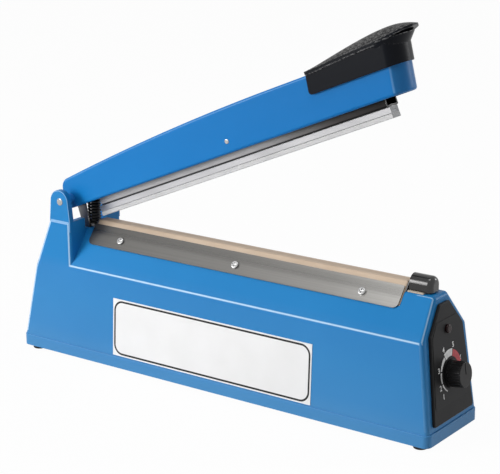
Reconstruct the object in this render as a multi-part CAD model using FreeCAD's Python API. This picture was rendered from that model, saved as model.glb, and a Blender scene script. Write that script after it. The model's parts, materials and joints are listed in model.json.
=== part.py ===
import FreeCAD
import Part
import math
import os

os.makedirs("parts", exist_ok=True)
V = FreeCAD.Vector

# Base housing: heights are from the skirt's underside, lengths from the hinge axis
base_length = 455.0
base_width = 85.0
hinge_from_left = 49.5
skirt_height = 11.0
skirt_step = 1.2
skirt_corner = 6.0
skirt_edge = 0.8
wall = 3.0
edge_radius = 4.0
shoulder_height = 88.0
shoulder_inset = 4.3
ridge_height = 121.0
ridge_half_width = 11.0
right_end_lean = 13.7
left_kink_height = 82.0
left_kink_inset = 13.8
left_kink_radius = 12.0
shoulder_bend = 60.0
boss_radius = 4.5
boss_height = 20.0

# Hinge tower and ears
hinge_rise = 28.4
tower_right = 12.0
tower_end_wall = 4.0
tower_gap_half_width = 15.5
ear_rise = 10.0
ear_base_left = 14.0
ear_base_right = 11.7
ear_ledge = 2.6
ear_recess = 0.6
ear_thickness = 6.0
ear_top_radius = 11.0
ear_top_offset = 1.2
ear_edge = 1.0
pin_radius = 3.5
pin_dome = 0.6
spacer_radius = 5.0
running_clearance = 0.05
side_clearance = 0.25

# Underside
plate_thickness = 2.0
plate_recess = 1.0
fit_gap = 0.3
plate_screw_radius = 1.5
plate_screw_head = 3.2
plate_screw_count = 3
foot_radius = 7.0
foot_taper = 0.8
foot_height = 4.0
foot_inset_x = 12.5
foot_inset_y = 9.5
foot_neck_radius = 5.0
foot_stem_radius = 2.4
foot_barb = 1.0

# Sealing bed on the ridge
bed_left = 20.5
bed_top_half_width = 5.485
tape_thickness = 0.2
tape_half_width = 4.6
element_thickness = 0.2
element_half_width = 2.5
element_tab = 5.0
cloth_thickness = 0.3
cloth_tuck = 13.0
cloth_left = 22.0
cloth_end_inset = 1.0
clamp_left = 20.5
clamp_end_inset = 2.0
clamp_thickness = 1.2
clamp_below_ridge = 16.4
clamp_above_ridge = 4.6
clamp_corner = 5.0
clamp_screw_spacing = 133.2
clamp_screw_below_ridge = 8.0
clamp_screw_radius = 1.9
clamp_screw_head = 3.6
clamp_screw_head_height = 2.0
clamp_screw_length = 7.0
screw_hole_gap = 0.25
terminal_head_radius = 2.0
terminal_head_height = 1.2
terminal_radius = 1.2
terminal_length = 6.0
cap_gap = 1.2
cap_end_gap = 5.1
cap_length = 21.3
cap_half_width = 8.0
cap_height = 13.1
cap_edge = 4.5
cap_wall = 2.5
pad_thickness = 1.2
pad_inset = 0.5
pad_length = 15.0

# Front label
label_left = 64.8
label_length = 223.0
label_low = 12.0
label_height = 55.0
label_thickness = 0.4

# Control panel on the right end, heights along the end face from the skirt
panel_low = 4.4
panel_low_half_width = 33.0
panel_shoulder = 80.5
panel_shoulder_half_width = 27.0
panel_top = 104.0
panel_top_half_width = 8.0
panel_corner = 2.5
panel_thickness = 2.6
panel_edge = 1.0
window_half_width = 17.0
window_low = 24.0
window_top = 92.0
dial_low = 18.5
dial_top = 90.2
dial_inset = 2.6
dial_thickness = 0.3
lamp_at = 81.5
lamp_radius = 3.9
lamp_stand = 1.0
lamp_dome = 1.4
lamp_body_radius = 3.4
lamp_body_length = 16.0
lamp_pin_radius = 0.5
lamp_pin_length = 5.0
knob_at = 42.5
knob_gap = 0.5
knob_height = 13.5
knob_base_radius = 12.2
knob_face_radius = 10.9
knob_skirt = 1.6
knob_flutes = 24
knob_flute_radius = 0.9
knob_edge = 0.8
knob_recess_radius = 7.4
knob_recess = 3.0
knob_pointer_width = 1.2
knob_pointer_depth = 0.5
shaft_radius = 3.0
shaft_in_knob = 8.0
pot_radius = 11.5
pot_depth = 10.0
bush_radius = 3.8
nut_across_flats = 10.0
nut_height = 2.0
board_half_width = 24.0
board_low = 26.0
board_top = 66.0
board_thickness = 1.6
part_inset = 3.0
relay_length = 16.0
relay_width = 10.0
relay_height = 15.0
chip_length = 10.0
chip_width = 6.4
chip_height = 3.5
terminal_block = 15.0
can_radius = 4.0
can_height = 12.0

# Transformer on the base plate
core_left = 238.0
core_length = 62.0
core_height = 52.0
core_depth = 26.0
core_limb = 11.0
coil_margin = 0.3
coil_depth = 44.0
strap_thickness = 1.2
strap_foot = 11.0
strap_screw_radius = 1.6

# Return spring beside the hinge
spring_at = 10.8
spring_radius = 6.5
spring_wire = 2.4
spring_turns = 14.0
spring_cup_radius = 7.4
spring_cup_height = 2.4
spring_cup_floor = 1.0

# Microswitch and the arm's blade that presses it
blade_y = -8.0
blade_thickness = 1.5
blade_top = -9.0
blade_low = -38.0
blade_waist = -28.5
blade_right_top = 5.0
blade_right_waist = 1.3
blade_left_waist = -7.0
blade_right_low = -0.5
blade_left_low = -4.0
blade_flange_height = 15.0
slot_margin = 0.9
switch_length = 18.0
switch_depth = 8.4
switch_thickness = 6.4
switch_face_gap = 1.8
plunger_radius = 1.6
plunger_travel = 1.5
plunger_drop = 37.0
plunger_bore = 5.0
bracket_thickness = 1.5
bracket_flange = 9.0
switch_screw_radius = 1.0

# Mains lead inlet on the left end
grommet_height = 27.0
grommet_bore = 4.0
grommet_neck = 6.0
grommet_flange = 8.5
grommet_flange_thickness = 2.2

# Arm: lengths along the arm and heights above the hinge axis
open_angle = 22.6
arm_wall = 2.5
arm_tail = 8.5
arm_bottom = 9.0
arm_tail_top = 19.5
arm_tail_top_at = 2.0
arm_top = 31.5
arm_level_length = 127.7
arm_rise = 2.7
arm_hinge_half_width = 20.5
arm_nose_half_width = 17.0
arm_nose_past_bed = 14.7
arm_nose_bulge = 8.4
arm_nose_lean = 0.16
arm_nose_corner = 5.0
arm_edge = 2.5
tail_half_width = 18.5
tail_step_at = 2.4
tail_step_lean = -0.175
spring_seat_at = 18.0
spring_seat_low = 14.0
spring_seat_radius = 7.4

# Handle grip over the arm's nose
grip_length = 74.7
grip_lean = 2.9
grip_wall = 2.2
grip_gap = 0.2
grip_low = 14.6
grip_corner = 3.0
grip_flare = 1.0
grip_plate = 3.0
grip_edge_start = 34.6
grip_edge_end = 38.4
grip_crown_start = 35.6
grip_crown_first = 40.8
grip_crown_second = 44.6
grip_crown_end = 46.4
grip_crown_past_nose = 4.3
grip_tip_past_nose = 29.3
grip_tip_height = 41.5
grip_tip_plate = 1.8
grip_lip_inset = 5.5
grip_lip_height = 8.0
grip_lip_start = 10.0
grip_screw_inset = 24.0
grip_screw_spacing = 40.0
grip_screw_radius = 1.6
grip_screw_length = 9.0

# Pressing bar hung in the arm
carrier_left = 24.0
carrier_end_inset = 0.5
carrier_half_width = 9.0
carrier_thickness = 1.5
carrier_height = 23.5
bar_left = 18.5
bar_half_width = 6.0
bar_height = 5.9
bar_edge = 0.6
bar_groove_half_width = 2.5
bar_groove = 3.0
strip_half_width = 6.2
strip_height = 4.1
strip_edge = 0.8
strip_root_gap = 0.1
bar_top = -15.5
bar_float = 5.0
bar_screw_radius = 1.5
bar_screw_head = 2.8
bar_screw_head_height = 1.5
bar_screw_length = 3.8
bar_screw_spacing = 130.0
rocker_past_middle = 9.25
rocker_height = 1.6
rocker_radius = 2.3
rocker_proud = 0.7
carrier_spring_spacing = 100.0
carrier_spring_radius = 5.0
carrier_spring_wire = 1.2
carrier_spring_turns = 8.5

# Worked-out sizes
left_x = -hinge_from_left
right_x = left_x + base_length
body_left = left_x + skirt_step
body_right = right_x - skirt_step
body_half_width = base_width / 2 - skirt_step
shoulder_half_width = body_half_width - shoulder_inset
hinge_height = ridge_height + hinge_rise
ear_base_height = ridge_height + ear_rise
ear_inner_half_width = shoulder_half_width - ear_recess - ear_thickness
side_draft = (body_half_width - shoulder_half_width) / (shoulder_height - skirt_height)
end_lean = right_end_lean / (ridge_height - skirt_height)
left_kink = body_left + left_kink_inset
left_low_lean = left_kink_inset / (left_kink_height - skirt_height)
left_high_lean = (-ear_base_left - left_kink) / (ear_base_height - left_kink_height)
slope = V(0, shoulder_half_width - ridge_half_width, ridge_height - shoulder_height).normalize()
slope_out = V(0, -slope.z, slope.y)
bed_height = (ridge_half_width - bed_top_half_width) * slope.z / slope.y
bed_top_z = ridge_height + bed_height
element_top_z = bed_top_z + tape_thickness + element_thickness
terminal_z = bed_top_z - element_tab / 2
cap_left = body_right - right_end_lean - cap_end_gap - cap_length
bed_right = cap_left - cap_gap
cloth_right = bed_right - cloth_end_inset
clamp_right = bed_right - clamp_end_inset
arm_nose_at = bed_right + arm_nose_past_bed
arm_top_at = arm_nose_at - arm_level_length
grip_at = arm_nose_at - grip_length
grip_crown_at = arm_nose_at + grip_crown_past_nose
grip_tip = arm_nose_at + grip_tip_past_nose
carrier_right = bed_right - carrier_end_inset
bar_right = bed_right
bar_middle = (bar_left + bar_right) / 2
rocker_at = bar_middle + rocker_past_middle
floor_z = ridge_height
blade_left_top = -arm_tail + arm_wall + fit_gap
cap_low = ridge_height + pad_thickness
ceiling_z = ridge_height - wall
carrier_bottom = bar_top
strip_low = bar_top - bar_height - strip_height
far = 700.0
out = V(0, 0, 1)


def polygon(points):
    return Part.makePolygon(points + points[:1])


def outline(corners):
    """Closed wire through (point, radius) corners."""
    starts = []
    ends = []
    arcs = []
    for i, (point, radius) in enumerate(corners):
        before = (corners[i - 1][0] - point).normalize()
        after = (corners[(i + 1) % len(corners)][0] - point).normalize()
        half = before.getAngle(after) / 2
        reach = radius / math.tan(half)
        inward = (before + after).normalize()
        starts.append(point + before * reach)
        ends.append(point + after * reach)
        arcs.append(point + inward * (radius / math.sin(half) - radius))
    edges = []
    for i, (point, radius) in enumerate(corners):
        if radius > 0:
            edges.append(Part.Arc(starts[i], arcs[i], ends[i]).toShape())
        edges.append(Part.makeLine(ends[i], starts[(i + 1) % len(corners)]))
    return Part.Wire(edges)


def prism(wire, way):
    return Part.Face(wire).extrude(way)


def box(x0, x1, y0, y1, z0, z1):
    return Part.makeBox(x1 - x0, y1 - y0, z1 - z0, V(x0, y0, z0))


def rod(start, end, radius):
    return Part.makeCylinder(radius, (end - start).Length, start, end - start)


def tube(start, end, outer, inner):
    return rod(start, end, outer).cut(rod(start, end, inner))


def mirrored(shape):
    return shape.mirror(V(0, 0, 0), V(0, 1, 0))


def fuse_all(shapes):
    return shapes[0].multiFuse(shapes[1:]).removeSplitter()


def rounded(shape, radius, chosen):
    return shape.makeFillet(radius, [edge for edge in shape.Edges if chosen(edge)])


def flat_across(edge):
    return edge.BoundBox.YLength < 0.01


def runs_along(edge):
    return edge.BoundBox.XLength > bed_left


def frame(origin, ex, ey, ez):
    return FreeCAD.Placement(FreeCAD.Matrix(
        ex.x, ey.x, ez.x, origin.x,
        ex.y, ey.y, ez.y, origin.y,
        ex.z, ey.z, ez.z, origin.z,
        0, 0, 0, 1))


def placed(shape, place):
    moved = shape.copy()
    moved.Placement = place.multiply(shape.Placement)
    return moved


def screw(head_radius, head_height, shank_radius, length):
    """Pan head screw with a cross recess, head on the z = 0 plane and shank below it."""
    head = Part.makeCylinder(head_radius, head_height)
    head = rounded(head, head_height * 0.45, lambda edge: edge.BoundBox.ZMin > head_height / 2)
    shank = Part.makeCylinder(shank_radius, length, V(0, 0, -length))
    arm = head_radius * 0.6
    slit = head_radius * 0.12
    recess = box(-arm, arm, -slit, slit, head_height * 0.5, head_height + 1)
    recess = recess.fuse(box(-slit, slit, -arm, arm, head_height * 0.5, head_height + 1))
    return head.cut(recess).fuse(shank).removeSplitter()


def helix_point(radius, pitch, turn):
    angle = 2 * math.pi * turn
    return V(radius * math.cos(angle), radius * math.sin(angle), pitch * turn)


def helix_way(radius, pitch, turn):
    angle = 2 * math.pi * turn
    return V(-radius * math.sin(angle), radius * math.cos(angle), pitch / (2 * math.pi)).normalize()


def arc_from(start, end, handle):
    """Arc from start to end whose end tangents meet at the handle."""
    middle = (start + end) * 0.5
    half_chord = (end - start).Length / 2
    lift = handle - middle
    half_angle = math.atan2(lift.Length, half_chord)
    top = middle + lift.normalize() * half_chord * math.tan(half_angle / 2)
    return Part.Arc(start, top, end).toShape()


def coil(radius, wire, length, turns):
    """Round wire wound from z = 0 up to the length, as one unbroken tube of biarcs."""
    pitch = (length - wire) / turns
    steps = round(turns * 4)
    edges = []
    for i in range(steps):
        start = helix_point(radius, pitch, i / 4)
        end = helix_point(radius, pitch, (i + 1) / 4)
        start_way = helix_way(radius, pitch, i / 4)
        end_way = helix_way(radius, pitch, (i + 1) / 4)
        span = end - start
        a = 2 * (start_way.dot(end_way) - 1)
        b = -2 * span.dot(start_way + end_way)
        c = span.dot(span)
        reach = (-b - math.sqrt(b * b - 4 * a * c)) / (2 * a)
        first = start + start_way * reach
        second = end - end_way * reach
        join = (first + second) * 0.5
        edges.append(arc_from(start, join, first))
        edges.append(arc_from(join, end, second))
    path = Part.Wire(edges)
    section = Part.Wire(Part.makeCircle(wire / 2, V(radius, 0, 0), helix_way(radius, pitch, 0)))
    shell = Part.BRepOffsetAPI.MakePipeShell(path)
    shell.add(section)
    shell.build()
    shell.makeSolid()
    line = path.discretize(Number=steps * 6 + 1)
    apart = min((a - b).Length for i, a in enumerate(line) for b in line[i + 12:])
    print("coil's least gap to itself", round(apart - wire, 2), "mm")
    wound = shell.shape()
    wound.translate(V(0, 0, wire / 2))
    return wound


def right_end_x(z):
    return body_right - end_lean * (z - skirt_height)


def side_y(z):
    return body_half_width - side_draft * (z - skirt_height)


def left_end_x(z):
    if z < left_kink_height:
        return left_kink - left_low_lean * (left_kink_height - z)
    return left_kink + left_high_lean * (z - left_kink_height)


# Places on the slanted front roof, the right end face and the left end face
front_roof = frame(V(0, -ridge_half_width, ridge_height), V(1, 0, 0), slope, slope_out)
end_angle = math.atan(end_lean)
end_up = V(-math.sin(end_angle), 0, math.cos(end_angle))
end_out = V(math.cos(end_angle), 0, math.sin(end_angle))
end_face = frame(V(body_right, 0, skirt_height), V(0, 1, 0), end_up, end_out)
left_angle = math.atan(left_low_lean)
left_up = V(math.sin(left_angle), 0, math.cos(left_angle))
left_out = V(-math.cos(left_angle), 0, math.sin(left_angle))
left_face = frame(V(left_end_x(grommet_height), 0, grommet_height), V(0, -1, 0), left_up, left_out)


def open_arm(shape):
    """Swings a piece drawn on the closed arm to the open arm's place."""
    swung = shape.copy()
    swung.rotate(V(0, 0, 0), V(0, 1, 0), -open_angle)
    swung.translate(V(0, 0, hinge_height))
    return swung


# Base housing
def body_section(low, radius):
    right = [
        (side_y(low), low, 0),
        (shoulder_half_width, shoulder_height, radius),
        (ridge_half_width, ridge_height, radius),
    ]
    left = [(-y, z, r) for y, z, r in reversed(right)]
    return [(V(0, y, z), r) for y, z, r in right + left]


def body_side(low, start):
    points = [
        V(start, 0, low),
        V(start, 0, ridge_height),
        V(right_end_x(ridge_height), 0, ridge_height),
        V(right_end_x(low), 0, low),
    ]
    return polygon(points)


def tower_section(low, top, bend):
    right = [
        (side_y(low), low, 0),
        (shoulder_half_width, shoulder_height, bend),
        (shoulder_half_width, top, 0),
    ]
    left = [(-y, z, r) for y, z, r in reversed(right)]
    return outline([(V(0, y, z), r) for y, z, r in right + left])


def ledge_section(low, top):
    """Keeps the tower's sides inside a slanted ledge under the ears."""
    ledge_low = ear_base_height - ear_ledge
    right = [
        (base_width, low),
        (base_width, ledge_low),
        (shoulder_half_width, ledge_low),
        (shoulder_half_width - ear_recess, top),
    ]
    return polygon([V(0, y, z) for y, z in right] + [V(0, -y, z) for y, z in reversed(right)])


def tower_side(low, top, end, kink_radius):
    corners = [
        (V(left_end_x(low), 0, low), 0),
        (V(left_kink, 0, left_kink_height), kink_radius),
        (V(left_end_x(top), 0, top), 0),
        (V(end, 0, top), 0),
        (V(end, 0, low), 0),
    ]
    return outline(corners)


def crossed(section, side):
    """The solid that has one outline seen along the base and another seen from its side."""
    section_face = Part.Face(section)
    section_face.translate(V(-far / 2, 0, 0))
    side_face = Part.Face(side)
    side_face.translate(V(0, -far / 2, 0))
    return section_face.extrude(V(far * 2, 0, 0)).common(side_face.extrude(V(0, far, 0)))


def on_right_end(edge):
    return all(abs(p.Point.x - right_end_x(p.Point.z)) < 0.01 for p in edge.Vertexes)


def on_tower_corner(edge):
    middle = edge.CenterOfMass
    at_left = middle.x < left_end_x(middle.z) + 1
    at_right = abs(middle.x - tower_right) < 0.1
    return (at_left or at_right) and abs(middle.y) > ear_inner_half_width


def touch_point(centre, radius, point, way):
    """Where the line from a point touches a circle, on the side given by way."""
    apart = point - centre
    angle = math.atan2(apart.z, apart.x) + way * math.acos(radius / apart.Length)
    return centre + V(radius * math.cos(angle), 0, radius * math.sin(angle))


def ear():
    centre = V(-ear_top_offset, 0, hinge_height)
    low_right = V(ear_base_right, 0, ear_base_height)
    low_left = V(-ear_base_left, 0, ear_base_height)
    down = V(0, 0, -ear_rise)
    right = touch_point(centre, ear_top_radius, low_right, 1)
    left = touch_point(centre, ear_top_radius, low_left, -1)
    edges = [
        Part.makeLine(low_right + down, low_right),
        Part.makeLine(low_right, right),
        Part.Arc(right, centre + V(0, 0, ear_top_radius), left).toShape(),
        Part.makeLine(left, low_left),
        Part.makeLine(low_left, low_left + down),
        Part.makeLine(low_left + down, low_right + down),
    ]
    solid = Part.Face(Part.Wire(edges)).extrude(V(0, ear_thickness, 0))
    solid.translate(V(0, ear_inner_half_width, 0))
    return rounded(solid, ear_edge, lambda edge: flat_across(edge) and edge.BoundBox.ZMax > hinge_height)


plate_top = plate_recess + plate_thickness
plate_half_width = side_y(plate_top) - wall - fit_gap
plate_left = left_end_x(plate_top) + wall + fit_gap
plate_right = right_end_x(plate_top) - wall - fit_gap
screw_inset = boss_radius + fit_gap
screw_y = plate_half_width - screw_inset
screw_span = plate_right - plate_left - 2 * (foot_inset_x + foot_radius + screw_inset)
screw_first = (plate_left + plate_right - screw_span) / 2
plate_screws_at = [
    V(screw_first + screw_span * i / (plate_screw_count - 1), y, plate_top)
    for i in range(plate_screw_count) for y in (-screw_y, screw_y)
]
clamp_middle = (clamp_left + clamp_right) / 2
clamp_screw_xs = [clamp_middle + clamp_screw_spacing * i for i in (-1, 0, 1)]
clamp_screws_at = [V(x, -clamp_screw_below_ridge, 0) for x in clamp_screw_xs]


def blade_reach():
    """Lengths that the blade's waist passes at the floor, with the arm closed and open."""
    angle = math.radians(open_angle)
    drop = hinge_height - floor_z + wall / 2
    closed = blade_left_waist
    opened = drop * math.tan(angle) + blade_right_waist / math.cos(angle)
    return closed - slot_margin, opened + slot_margin


def base_housing():
    body_low = skirt_height - wall
    main = crossed(outline(body_section(body_low, edge_radius)), body_side(body_low, 0))
    main = rounded(main, edge_radius, on_right_end)
    tower_wire = tower_section(body_low, ear_base_height, shoulder_bend)
    tower = crossed(tower_wire, tower_side(body_low, ear_base_height, tower_right, left_kink_radius))
    tower = rounded(tower, edge_radius, on_tower_corner)
    ledge = prism(ledge_section(0, ear_base_height), V(far, 0, 0))
    ledge.translate(V(-far / 2, 0, 0))
    tower = tower.common(ledge)
    skirt_corners = [
        (V(left_x, -base_width / 2, 0), skirt_corner),
        (V(right_x, -base_width / 2, 0), skirt_corner),
        (V(right_x, base_width / 2, 0), skirt_corner),
        (V(left_x, base_width / 2, 0), skirt_corner),
    ]
    skirt = prism(outline(skirt_corners), V(0, 0, skirt_height))
    skirt = rounded(skirt, skirt_edge, lambda edge: edge.BoundBox.ZMin > skirt_height - 0.01)
    outer = fuse_all([main, tower, skirt, ear(), mirrored(ear())])
    deep = -far / 4
    inner_section = Part.Face(outline(body_section(deep, 0))).makeOffset2D(-wall, 2).OuterWire
    inner_side = Part.Face(body_side(deep, -tower_end_wall)).makeOffset2D(-wall, 2).OuterWire
    room = crossed(inner_section, inner_side)
    tower_inner_section = Part.Face(tower_section(deep, floor_z, 0)).makeOffset2D(-wall, 2).OuterWire
    tower_inner_side = tower_side(deep, floor_z, tower_right - tower_end_wall + wall, 0)
    tower_inner_side = Part.Face(tower_inner_side).makeOffset2D(-wall, 2).OuterWire
    tower_room = crossed(tower_inner_section, tower_inner_side)
    bosses = [rod(p, p + V(0, 0, boss_height), boss_radius) for p in plate_screws_at]
    pilots = [rod(p, p + V(0, 0, boss_height - wall), plate_screw_radius) for p in plate_screws_at]
    fork_end = tower_right - tower_end_wall
    fork = box(-far / 4, fork_end, -ear_inner_half_width, ear_inner_half_width, floor_z, far / 2)
    gap = box(0, tower_right + 1, -tower_gap_half_width, tower_gap_half_width, floor_z, far / 2)
    slot_left, slot_right = blade_reach()
    slot_front = blade_y - blade_thickness - slot_margin
    slot = box(slot_left, slot_right, slot_front, blade_y + slot_margin, ceiling_z - 1, floor_z + 1)
    window = box(-window_half_width, window_half_width, window_low, window_top, -wall * 3, wall)
    inlet = rod(V(0, 0, -wall * 3), V(0, 0, wall), grommet_neck)
    pin_hole = rod(V(0, -base_width, hinge_height), V(0, base_width, hinge_height), pin_radius)
    clamp_hole = [rod(p + V(0, 0, -clamp_screw_length), p, clamp_screw_radius) for p in clamp_screws_at]
    clamp_holes = [placed(hole, front_roof) for hole in clamp_hole]
    shell = outer.cut(room).cut(tower_room)
    shell = shell.fuse([boss.common(outer) for boss in bosses])
    cuts = pilots + [fork, gap, slot, placed(window, end_face), placed(inlet, left_face), pin_hole]
    cuts += clamp_holes + [mirrored(hole) for hole in clamp_holes]
    return shell.cut(cuts).removeSplitter()


# Underside
def foot_places():
    xs = (left_x + foot_inset_x, right_x - foot_inset_x)
    y = base_width / 2 - foot_inset_y
    return [V(x, s * y, 0) for x in xs for s in (-1, 1)]


def base_plate():
    corners = [
        (V(plate_left, -plate_half_width, plate_recess), skirt_corner - wall),
        (V(plate_right, -plate_half_width, plate_recess), skirt_corner - wall),
        (V(plate_right, plate_half_width, plate_recess), skirt_corner - wall),
        (V(plate_left, plate_half_width, plate_recess), skirt_corner - wall),
    ]
    plate = prism(outline(corners), V(0, 0, plate_thickness))
    deep = V(0, 0, wall)
    holes = [rod(p - deep, p + deep, plate_screw_radius + screw_hole_gap) for p in plate_screws_at]
    holes += [rod(p - deep, p + deep * 2, foot_stem_radius) for p in foot_places()]
    return plate.cut(holes)


def base_plate_screws():
    one = screw(plate_screw_head, plate_recess, plate_screw_radius, plate_thickness + boss_height / 2)
    down = FreeCAD.Rotation(V(1, 0, 0), 180)
    seat = V(0, 0, -plate_thickness)
    return [placed(one, FreeCAD.Placement(p + seat, down)) for p in plate_screws_at]


def rubber_feet():
    pad = Part.makeCone(foot_radius - foot_taper, foot_radius, foot_height, V(0, 0, -foot_height))
    pad = rounded(pad, foot_taper, lambda edge: edge.BoundBox.ZMax < -foot_height + 0.1)
    neck = rod(V(0, 0, 0), V(0, 0, plate_recess), foot_neck_radius)
    stem = rod(V(0, 0, plate_recess), V(0, 0, plate_top), foot_stem_radius)
    barb = Part.makeCone(foot_stem_radius + foot_barb, foot_stem_radius, foot_barb * 2, V(0, 0, plate_top))
    foot = fuse_all([pad, neck, stem, barb])
    return [placed(foot, FreeCAD.Placement(p, FreeCAD.Rotation())) for p in foot_places()]


# Sealing bed
def roof_y(z, off):
    """Half width of the slanted roof planes at a height, moved outwards by off."""
    return ridge_half_width - (z - ridge_height) * slope.y / slope.z + off / slope.z


def sealing_bed():
    half = [(roof_y(ridge_height, 0), ridge_height), (roof_y(bed_top_z, 0), bed_top_z)]
    points = [V(bed_left, y, z) for y, z in half] + [V(bed_left, -y, z) for y, z in reversed(half)]
    bar = prism(polygon(points), V(bed_right - bed_left, 0, 0))
    deep = terminal_length
    left_hole = rod(V(bed_left, 0, terminal_z), V(bed_left + deep, 0, terminal_z), terminal_radius)
    right_hole = rod(V(bed_right - deep, 0, terminal_z), V(bed_right, 0, terminal_z), terminal_radius)
    return bar.cut([left_hole, right_hole])


def bed_tape():
    top = bed_top_z + tape_thickness
    return box(bed_left, bed_right, -tape_half_width, tape_half_width, bed_top_z, top)


def heating_element():
    low = bed_top_z + tape_thickness
    top = low + element_thickness
    left = bed_left - element_thickness
    right = bed_right + element_thickness
    half = element_half_width
    ribbon = box(left, right, -half, half, low, top)
    tabs = [
        box(left, bed_left, -half, half, bed_top_z - element_tab, low),
        box(bed_right, right, -half, half, bed_top_z - element_tab, low),
    ]
    holes = rod(V(left - 1, 0, terminal_z), V(right + 1, 0, terminal_z), terminal_radius)
    return fuse_all([ribbon] + tabs).cut(holes)


def terminal_screws():
    one = screw(terminal_head_radius, terminal_head_height, terminal_radius, terminal_length)
    screws = []
    for x, way in ((bed_left - element_thickness, -1), (bed_right + element_thickness, 1)):
        turn = FreeCAD.Rotation(V(0, 0, 1), V(way, 0, 0))
        screws.append(placed(one, FreeCAD.Placement(V(x, 0, terminal_z), turn)))
    return screws


def cloth_line(off):
    """Section of the cloth's inner or outer face, from tuck to tuck."""
    tuck_z = ridge_height - cloth_tuck * slope.z
    top_z = element_top_z + off
    half = [(roof_y(tuck_z, off), tuck_z), (roof_y(top_z, off), top_z)]
    return [V(cloth_left, -y, z) for y, z in half] + [V(cloth_left, y, z) for y, z in reversed(half)]


def ptfe_cloth():
    points = cloth_line(cloth_thickness) + list(reversed(cloth_line(0)))
    cloth = prism(polygon(points), V(cloth_right - cloth_left, 0, 0))
    radius = clamp_screw_radius + screw_hole_gap
    holes = [rod(p - out, p + out, radius) for p in clamp_screws_at]
    front = [placed(one, front_roof) for one in holes]
    return cloth.cut(front + [mirrored(one) for one in front])


def front_clamp_plate():
    corners = [
        (V(clamp_left, -clamp_below_ridge, cloth_thickness), clamp_corner),
        (V(clamp_right, -clamp_below_ridge, cloth_thickness), clamp_corner),
        (V(clamp_right, clamp_above_ridge, cloth_thickness), clamp_corner / 4),
        (V(clamp_left, clamp_above_ridge, cloth_thickness), clamp_corner / 4),
    ]
    plate = prism(outline(corners), V(0, 0, clamp_thickness))
    holes = [rod(p, p + V(0, 0, wall), clamp_screw_radius + screw_hole_gap) for p in clamp_screws_at]
    return placed(plate.cut(holes), front_roof)


def clamp_plate_screws():
    lift = cloth_thickness + clamp_thickness
    one = screw(clamp_screw_head, clamp_screw_head_height, clamp_screw_radius, clamp_screw_length + lift)
    front = []
    for p in clamp_screws_at:
        seat = FreeCAD.Placement(p + V(0, 0, lift), FreeCAD.Rotation())
        front.append(placed(placed(one, seat), front_roof))
    return front + [mirrored(s) for s in front]


def right_end_cap():
    straight = cap_height - cap_half_width
    points = [
        V(cap_left, -cap_half_width, cap_low),
        V(cap_left, -cap_half_width, cap_low + straight),
        V(cap_left, 0, cap_low + cap_height),
        V(cap_left, cap_half_width, cap_low + straight),
        V(cap_left, cap_half_width, cap_low),
    ]
    edges = [
        Part.makeLine(points[0], points[1]),
        Part.Arc(points[1], points[2], points[3]).toShape(),
        Part.makeLine(points[3], points[4]),
        Part.makeLine(points[4], points[0]),
    ]
    cap = prism(Part.Wire(edges), V(cap_length, 0, 0))
    end = cap_left + cap_length
    cap = rounded(cap, cap_edge, lambda edge: edge.BoundBox.XMin > end - 0.01 and edge.BoundBox.ZLength > 1)
    room_half = cap_half_width - cap_wall
    room_top = cap_low + straight
    room_end = end - cap_wall - cap_edge
    room = box(cap_left + cap_wall, room_end, -room_half, room_half, cap_low - 1, room_top)
    pocket_radius = terminal_head_radius + fit_gap
    past_wall = cap_left + cap_wall + 1
    pocket = rod(V(cap_left - 1, 0, terminal_z), V(past_wall, 0, terminal_z), pocket_radius)
    notch = box(cap_left - 1, past_wall, -pocket_radius, pocket_radius, cap_low - 1, terminal_z)
    return cap.cut([room, pocket, notch])


def cap_pad():
    half = ridge_half_width - pad_inset
    return box(cap_left, cap_left + pad_length, -half, half, ridge_height, cap_low)


# Hinge and return spring
def hinge_pin():
    half = shoulder_half_width - ear_recess
    pin = rod(V(0, -half - pin_dome, hinge_height), V(0, half + pin_dome, hinge_height), pin_radius)
    return rounded(pin, pin_dome, flat_across)


def pin_spacers():
    z = hinge_height
    start = V(0, arm_hinge_half_width + side_clearance, z)
    end = V(0, ear_inner_half_width, z)
    one = tube(start, end, spacer_radius, pin_radius)
    return [one, mirrored(one)]


def spring_cup():
    foot = V(spring_at, 0, floor_z)
    cup = rod(foot, foot + V(0, 0, spring_cup_height), spring_cup_radius)
    room = rod(foot + out * spring_cup_floor, foot + out * far, spring_radius + fit_gap)
    return cup.cut(room)


def spring_top_z():
    """Height of the spring's top, just below the low side of the arm's tilted seat."""
    angle = math.radians(open_angle)
    low_side = spring_seat_at - spring_seat_radius
    return hinge_height + low_side * math.sin(angle) + spring_seat_low * math.cos(angle) - fit_gap


def return_spring():
    foot = floor_z + spring_cup_floor
    wound = coil(spring_radius - spring_wire / 2, spring_wire, spring_top_z() - foot, spring_turns)
    wound.translate(V(spring_at, 0, foot))
    return wound


# Microswitch under the hinge
plunger_z = hinge_height - plunger_drop
tip_share = (plunger_drop - plunger_radius + blade_waist) / (blade_waist - blade_low)
tip_closed = blade_left_waist + (blade_left_low - blade_left_waist) * tip_share - fit_gap
plunger_tip = tip_closed + plunger_travel
switch_right = tip_closed - switch_face_gap
switch_left = switch_right - switch_depth
switch_y = blade_y - blade_thickness / 2
switch_top = ceiling_z - wall
switch_low = switch_top - switch_length
switch_back = switch_y + switch_thickness / 2


def microswitch_body():
    front = switch_y - switch_thickness / 2
    body = box(switch_left, switch_right, front, switch_back, switch_low, switch_top)
    mouth = V(switch_right, switch_y, plunger_z)
    hole = rod(mouth - V(plunger_bore, 0, 0), mouth + V(1, 0, 0), plunger_radius + running_clearance)
    return body.cut([hole] + switch_screw_rods())


def switch_screw_rods():
    x = switch_right - switch_depth * 0.7
    zs = (switch_top - switch_length * 0.85, switch_top - switch_length * 0.4)
    front = switch_y - switch_thickness / 2
    return [rod(V(x, front, z), V(x, switch_back + bracket_thickness, z), switch_screw_radius) for z in zs]


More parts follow.
